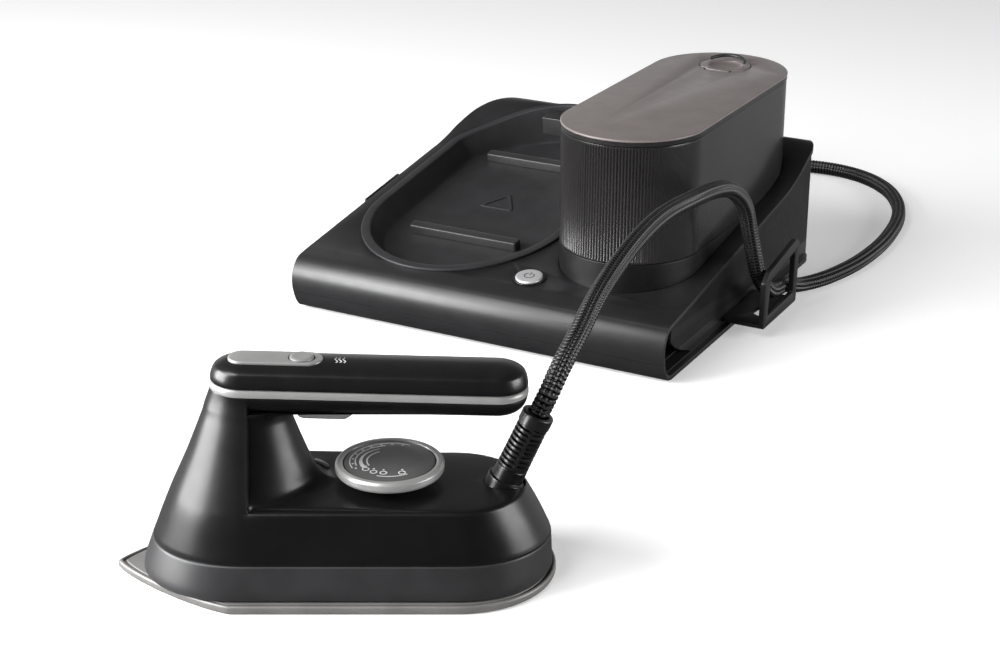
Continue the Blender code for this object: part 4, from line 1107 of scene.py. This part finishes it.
TANK_X, TANK_FRONT, TANK_BACK, TANK_R = 207.0, 71.0, 206.0, 46.0
TANK_BASE, TANK_TOP, LID_TOP = 59.9, 134.9, 139.6


def stadium(radius, count=28):
    points = []
    for centre, start in ((TANK_FRONT, 180), (TANK_BACK, 0)):
        points += [polar(radius, math.radians(start + 180 * i / count), TANK_X, centre)
                   for i in range(count + 1)]
    return points


inner_view = inset_outline(FRONT_ROLL + BACK_RISE + [(256.0, 0.7)], SHELL)
recess = (prism(inset_outline(SIDE_VIEW, 3.0), WIDE - RECESS, WIDE + 10, "X"), STATION)
MOUTH = [(-5.6, 12.0), (-3.0, 7.2), (2.0, 4.4), (44.0, 4.4), (36.0, 7.6), (27.0, 11.0),
         (17.6, 16.2), (11.6, 21.0), (10.2, 24.5), (11.5, 31.0), (4.0, 31.5), (-4.0, 27.0),
         (-6.4, 20.0)]
mouth = (prism(fillet(MOUTH, 1.5, least=0.2), WIDE - 12, WIDE + 12, "X"), STATION)
BACKWARD = Matrix.Rotation(math.radians(90), 4, "X")
HOSE_GLAND = STATION @ shift(60, DEEP, 20) @ BACKWARD
LEAD_GLAND = STATION @ shift(215, DEEP, 20) @ BACKWARD
glands = [(drill(7.0, -20, 20, 32), HOSE_GLAND), (drill(5.4, -20, 20, 32), LEAD_GLAND)]


def hull_half(name, above, look, host, extra, bevel=0.7):
    """The deck shell or the base tray: the side view across the plan, hollow inside."""
    edge = SEAM if above else SEAM - 0.3
    obj = mesh_from(name, prism(clip(SIDE_VIEW, above, edge), 0, WIDE, "X"), STATION)
    carve(obj, [(prism(plan(0.0), -20, 130), STATION)], "INTERSECT")
    hollow = mesh_from("hollow", prism(clip(inner_view, True, 5.2), SHELL,
                                       WIDE - SHELL - RECESS, "X"), STATION)
    carve(hollow, [(prism(plan(SHELL), -20, 130), STATION)], "INTERSECT")
    cut = obj.modifiers.new("hollow", "BOOLEAN")
    cut.solver = "EXACT"
    cut.object = hollow
    settle(obj)
    bpy.data.objects.remove(hollow, do_unlink=True)
    carve(obj, [recess, mouth] + glands + extra)
    soften(obj, bevel)
    dress(obj, look, host, angle=38)
    return obj


deck_holes = [
    (prism(cradle_outline(3.8), -30, 30), DECK),
    (prism(stadium(TANK_R + 0.5), 20, 120), STATION),
    (drill(10.1, -12, 12, 64), DECK @ shift(*BUTTON_AT, 0))]
hull_half("deck_cover", True, "charcoal", "deck_shell", deck_holes)
hull_half("base_shell", False, "charcoal", "base_tray",
          [(drill(9.3, -1, 2.7, 48), STATION @ shift(x, y, 0))
           for x, y in (FOOT, (240, 18), (44, 222), (236, 226))])

# ---------------------------------------------------------------- station: cradle
PAN_SIDE = [(14.6, -15.0, 0), (13.0, -13.6, 0), (4.4, 0.3, 1), (0.0, 0.3, 1), (0.0, 1.1, 1),
            (0.14, 1.45, 1), (0.5, 1.66, 1), (1.0, 1.72, 1), (3.2, 1.78, 1), (5.3, 1.72, 1),
            (5.9, 1.6, 1), (6.35, 1.25, 1), (6.65, 0.6, 1), (8.0, -1.5, 0.85),
            (10.0, -4.7, 0.6), (12.0, -7.9, 0.34), (13.6, -10.5, 0.12), (14.3, -11.5, 0.04),
            (15.2, -12.4, 0), (16.3, -12.85, 0), (17.6, -13.0, 0)]
piece("cradle_tray", loft([pan_ring(*row) for row in PAN_SIDE]), DECK, "pan", "cradle_pan")
for host, name, y, x0, x1 in (("rest_bar_front", "rest_front", 70.0, 39.0, 121.0),
                              ("rest_bar_rear", "rest_rear", 190.0, 34.0, 126.0)):
    piece(name, loft([lift(slot_outline(x0 - t, x1 + t, y - 4 - t, y + 4 + t, 2, 2, 5), z)
                      for t, z in ((0.0, -12.7), (0.0, -7.9), (-0.12, -7.4), (-0.5, -7.0),
                                   (-1.1, -6.85), (-1.9, -6.8))]), DECK, "rubber", host)


def triangle(reach, x, y):
    """A rounded triangle pointing up the slope."""
    corners = [polar(reach, math.radians(a), x, y) for a in (90, 210, 330)]
    return fillet(corners, reach * 0.12, steps=5)


mark_at = (77.0, 127.0)
outer_edge, inner_edge = triangle(15.5, *mark_at), triangle(11.8, *mark_at)
# A plain raised triangle moulded in the cradle floor.
relief = loft([lift(edge, z) for edge, z in ((outer_edge, -13.1), (outer_edge, -12.5),
                                             (inner_edge, -12.5), (inner_edge, -13.1))],
              wrap=True)
piece("floor_triangle", relief, DECK, "pan", "cradle_pan", stands=False, bevel=0.15)
latch = fillet([(219.0, -0.5), (221.6, -0.5), (221.6, 9.0), (232.3, 9.0), (232.3, 12.2),
                (219.0, 12.2)], 0.6)
piece("latch_block", prism(latch, CRADLE_X - 16, CRADLE_X + 16, "X"), DECK, "satin",
      "iron_latch", bevel=0.5)

# ---------------------------------------------------------------- station: power button
POWER = DECK @ shift(*BUTTON_AT, 0)
piece("power_surround", turned([(10.6, 0.3), (10.4, 0.9), (9.6, 0.9), (9.3, 0.6), (9.3, -4.5),
                                (9.8, -4.5), (9.8, 0.3)], radius=0.2, count=96), POWER, "satin",
      "power_bezel")
piece("power_key", turned([(0, 1.78), (5.0, 1.86), (7.6, 1.9), (8.2, 1.8), (8.7, 1.5),
                           (9.0, 1.0), (9.0, -6.0), (0, -6.0)], False, count=96), POWER,
      "satin_metal", "power_button")
stroke = [arc(3.1, 0.7, 122, 418, 1.82), prism([(-0.35, 0.8), (0.35, 0.8), (0.35, 4.1),
                                                (-0.35, 4.1)], 1.82, 1.9)]
piece("power_icon", several(*stroke), POWER, "dark_mark", "power_button", stands=False)

# ---------------------------------------------------------------- station: hose clip and hook
clip_frame = fillet([(91.0, 6.6), (150.0, 6.6), (152.0, 47.0), (146.0, 51.0), (99.0, 43.2),
                     (92.0, 37.5)], 2.0)
clip_cuts = [
    (prism(fillet([(98.0, 13.5), (143.5, 14.5), (144.0, 43.0), (102.0, 36.5)], 2.0), 255, 300,
           "X"), STATION),
    (prism([(85.0, 9.4), (170.0, 9.4), (170.0, 60.0), (85.0, 60.0)], 250.0, 287.5, "X"),
     STATION),
    (prism(fillet([(275.0, 110.5), (282.8, 106.5), (276.2, 124.5)], 0.8), -5, 20), STATION)]
piece("hose_bracket", prism(clip_frame, WIDE - RECESS + 0.3, 291.0, "X"), STATION, "charcoal",
      "hose_clip", cuts=clip_cuts, bevel=0.6)
HOOK_SIDE = fillet([(-0.3, -5.2), (-3.4, -4.0), (-3.4, 0.0), (-5.2, 0.0), (-5.2, -8.4),
                    (-0.3, -12.2)], 0.7)
piece("lead_hook", loft([[(x, y, 36.2 + (y - DECK_Y) * math.tan(DECK_TILT) + z)
                          for x, z in HOOK_SIDE] for y in (90.0, 134.0)]),
      STATION, "charcoal", "cord_hook", bevel=0.3)
# three ribs, each a little smaller than the one before
grips = [point for n, (rib, dip) in enumerate(((7.2, 6.6), (7.2, 6.5), (7.1, 6.4)))
         for point in ((rib, -6 - 4 * n), (rib, -8 - 4 * n), (dip, -8.4 - 4 * n),
                       (dip, -9.6 - 4 * n))]
piece("hose_gland", turned([(0, 8), (6.6, 8), (6.6, -0.3), (9.4, -0.3), (9.4, -4.0),
                            (8.2, -5.6), *grips, (7.0, -18.0), (7.0, -22.0), (0, -22.0)],
                           False, radius=0.3), HOSE_GLAND, "rubber", "station_gland")
piece("lead_gland", turned([(0, 8), (5.0, 8), (5.0, -0.3), (7.6, -0.3), (7.6, -3.0), (6.2, -4.4),
                            (5.2, -5.0), (5.2, -6.6), (4.6, -7.0), (4.6, -8.0), (5.0, -8.4),
                            (5.0, -10.0), (4.5, -10.4), (4.5, -11.4), (4.8, -11.8),
                            (4.6, -14.0), (0, -14.0)], False, radius=0.3),
      LEAD_GLAND, "rubber", "mains_gland")

# ---------------------------------------------------------------- tank and its dock
VALVE = STATION @ shift(TANK_X, 96, 0)
dock_side = fillet([(TANK_R - 1.0, 34.0), (TANK_R, 35.0), (TANK_R, 59.5), (TANK_R - 2.2, 59.5),
                    (TANK_R - 2.2, 36.5)], 0.5, closed=False)
piece("tank_seat", loft([lift(stadium(r), z) for r, z in dock_side]), STATION, "dock",
      "tank_dock", cuts=[(drill(8.6, 28, 40), VALVE)])
FLUTE, FLUTE_STEPS = 2.0, 460


def tank_outline(radius, depth):
    """The tank's plan with fine upright flutes round the front, fading out to the right."""
    points = []
    for i in range(FLUTE_STEPS + 1):
        angle = 180.0 + 180.0 * i / FLUTE_STEPS
        run = math.radians(angle - 180) * TANK_R
        fade = min(1.0, max(0.0, (322 - angle) / 22))
        groove = depth * fade * (1 - abs(math.sin(math.pi * run / FLUTE)))
        points.append(polar(radius - groove, math.radians(angle), TANK_X, TANK_FRONT))
    return points + [polar(radius, math.radians(180 * i / 40), TANK_X, TANK_BACK)
                     for i in range(41)]


wall = [(TANK_R - 4.0, 37.2, 0), (TANK_R - 2.9, 38.4, 0), (TANK_R - 2.9, TANK_BASE, 0),
        (TANK_R - 0.5, TANK_BASE, 0), (TANK_R - 0.12, TANK_BASE + 0.15, 0),
        (TANK_R, TANK_BASE + 0.6, 0), (TANK_R, TANK_BASE + 1.4, 0.75),
        (TANK_R, TANK_TOP - 2.0, 0.75), (TANK_R, TANK_TOP - 1.0, 0),
        (TANK_R - 0.12, TANK_TOP - 0.2, 0), (TANK_R - 0.5, TANK_TOP, 0),
        (TANK_R - 2.2, TANK_TOP, 0), (TANK_R - 2.2, TANK_BASE + 2.3, 0),
        (TANK_R - 5.1, TANK_BASE + 0.7, 0), (TANK_R - 5.1, 39.4, 0)]
piece("tank_body", loft([lift(tank_outline(r, d), z) for r, z, d in wall]), STATION, "smoked",
      "tank_shell", cuts=[(drill(8.3, 34, 44), VALVE)], angle=50)
FLAP_Y, FLAP_R = 218.0, 17.0
TONGUE_HALF, TONGUE_FRONT, TONGUE_BACK = 8.4, 14.5, 11.2
flap_disc = [polar(FLAP_R, TURN * i / 96) for i in range(96)]
flap_plan = [(x, y) for x, y in flap_disc if y >= -TONGUE_BACK]
flap_plan += [(x, y) for x in (-TONGUE_HALF, TONGUE_HALF) for y in (-TONGUE_FRONT, -TONGUE_BACK)]
flap_plan.sort(key=lambda p: math.atan2(p[1], p[0]))
FLAP = STATION @ shift(TANK_X, FLAP_Y, 0)
HINGE = STATION @ shift(TANK_X, FLAP_Y - 13, LID_TOP - 1.25) @ Matrix.Rotation(
    math.radians(90), 4, "Y")
pin_seat = (drill(0.9, -12, 12, 24), HINGE)
EDGE_Z = LID_TOP - 1.5
lid_side = [(TANK_R - 1.6, TANK_TOP + 0.3), (TANK_R - 1.6, EDGE_Z), (TANK_R + 0.3, EDGE_Z),
            (TANK_R + 0.5, EDGE_Z + 0.3), (TANK_R + 0.45, LID_TOP - 0.5), (TANK_R, LID_TOP - 0.08),
            (TANK_R - 0.7, LID_TOP)]
piece("cover_band", loft([lift(stadium(r, 48), z) for r, z in (
    (TANK_R - 1.4, TANK_TOP + 0.3), (TANK_R, TANK_TOP + 0.3), (TANK_R + 0.3, TANK_TOP + 0.6),
    (TANK_R + 0.3, EDGE_Z - 0.3), (TANK_R, EDGE_Z - 0.05), (TANK_R - 1.4, EDGE_Z - 0.05))],
    wrap=True), STATION, "smoked", "tank_lid", stands=False)
piece("tank_cover", loft([lift(stadium(r, 48), z) for r, z in lid_side]), STATION, "taupe",
      "tank_lid", bevel=0.25, cuts=[
          (prism([(x * 1.04, y * 1.04) for x, y in flap_plan], LID_TOP - 3.2, LID_TOP + 4),
           FLAP),
          (block((-9.4, -16.3, LID_TOP - 3.9), (9.4, -11.0, LID_TOP + 4.0)), FLAP),
          (drill(10.5, TANK_TOP - 4, LID_TOP + 4, 48), FLAP), pin_seat])
dish = turned([(0, LID_TOP + 4), (11.8, LID_TOP + 4), (11.6, LID_TOP + 0.1),
               (11.0, LID_TOP - 0.5), (9.4, LID_TOP - 1.0), (6.0, LID_TOP - 1.35),
               (0, LID_TOP - 1.5)], False, 64)
piece("fill_cap", prism(flap_plan, LID_TOP - 2.8, LID_TOP + 0.3), FLAP, "taupe", "fill_flap",
      cuts=[(dish, FLAP), pin_seat], bevel=0.3)
pull = []
for degrees in range(20, 161, 4):
    a = math.radians(degrees)
    pull.append((12.8 * math.cos(a), 13.4 * math.sin(a), LID_TOP + 2.0 + 1.8 * math.sin(a)))
piece("cap_pull", tube(pull, 1.2), FLAP, "rubber", "flap_pull")

# ---------------------------------------------------------------- floor, light and camera
FLOOR_REACH = 6000
FLOOR_GLOW = 0.33


def floor_build(bm):
    corners = ((-1, -1), (1, -1), (1, 1), (-1, 1))
    bm.faces.new([bm.verts.new((x * FLOOR_REACH, y * FLOOR_REACH, 0)) for x, y in corners])


floor = mesh_from("floor", floor_build, Matrix.Translation((0, 0, -0.0002)))
paint = bpy.data.materials.new("floor_paper")
paint.use_nodes = True
feed(paint.node_tree, paint.node_tree.nodes["Principled BSDF"], {
    "Base Color": (0.8, 0.8, 0.8, 1.0), "Roughness": 0.9,
    "Emission Color": (1.0, 1.0, 1.0, 1.0), "Emission Strength": FLOOR_GLOW})
floor.data.materials.append(paint)
floor.visible_glossy = False

world = bpy.data.worlds.new("studio")
bpy.context.scene.world = world
world.use_nodes = True
sky = world.node_tree
aim = add(sky, "TexCoord", {}, "Generated")
direction = add(sky, "SeparateXYZ", {"Vector": aim}, "X").node.outputs
strength = None
# Bright behind the object, dim in front, overhead and below the horizon.
for axis, start, end, low, high, easing in (("Y", -0.35, 0.75, 0.05, 0.75, "SMOOTHSTEP"),
                                            ("Z", 0.10, 0.42, 1.0, 0.16, "SMOOTHSTEP"),
                                            ("Z", -0.45, 0.0, 0.1, 1.0, "LINEAR")):
    part = add(sky, "MapRange", {"Value": direction[axis], "From Min": start, "From Max": end,
                                 "To Min": low, "To Max": high}, "Result",
               interpolation_type=easing)
    strength = part if strength is None else maths(sky, "MULTIPLY", strength, part)
feed(sky, sky.nodes["Background"], {"Strength": strength, "Color": (1.0, 1.0, 1.0, 1.0)})


def softbox(name, at, target, wide, high, power):
    """A large area light aimed at a point."""
    data = bpy.data.lights.new(name, "AREA")
    data.shape = "RECTANGLE"
    data.size, data.size_y = wide, high
    data.energy = power
    lamp = linked(name, data)
    lamp.location = at
    lamp.rotation_euler = (Vector(target) - Vector(at)).to_track_quat("-Z", "Y").to_euler()


softbox("left_box", (-1.15, -0.12, 0.44), (0, 0.05, 0.08), 1.0, 0.88, 50)
softbox("right_box", (1.5, -0.2, 0.38), (0.1, 0.0, 0.08), 0.9, 0.76, 19)
softbox("top_box", (-0.95, -0.5, 1.45), (0, 0.15, 0), 1.2, 0.8, 26)

CAMERA_AT = (0.081, -0.882, 0.490)
CAMERA_DOWN = 22.4              # degrees below the horizon
LENS_MM = 72.0
view = bpy.data.cameras.new("camera")
view.lens = LENS_MM
view.sensor_width = 36.0
view.dof.use_dof = False
camera = linked("camera", view)
camera.location = CAMERA_AT
camera.rotation_euler = (math.radians(90 - CAMERA_DOWN), 0.0, 0.0)
bpy.context.scene.camera = camera
bpy.context.scene.view_settings.view_transform = "Standard"
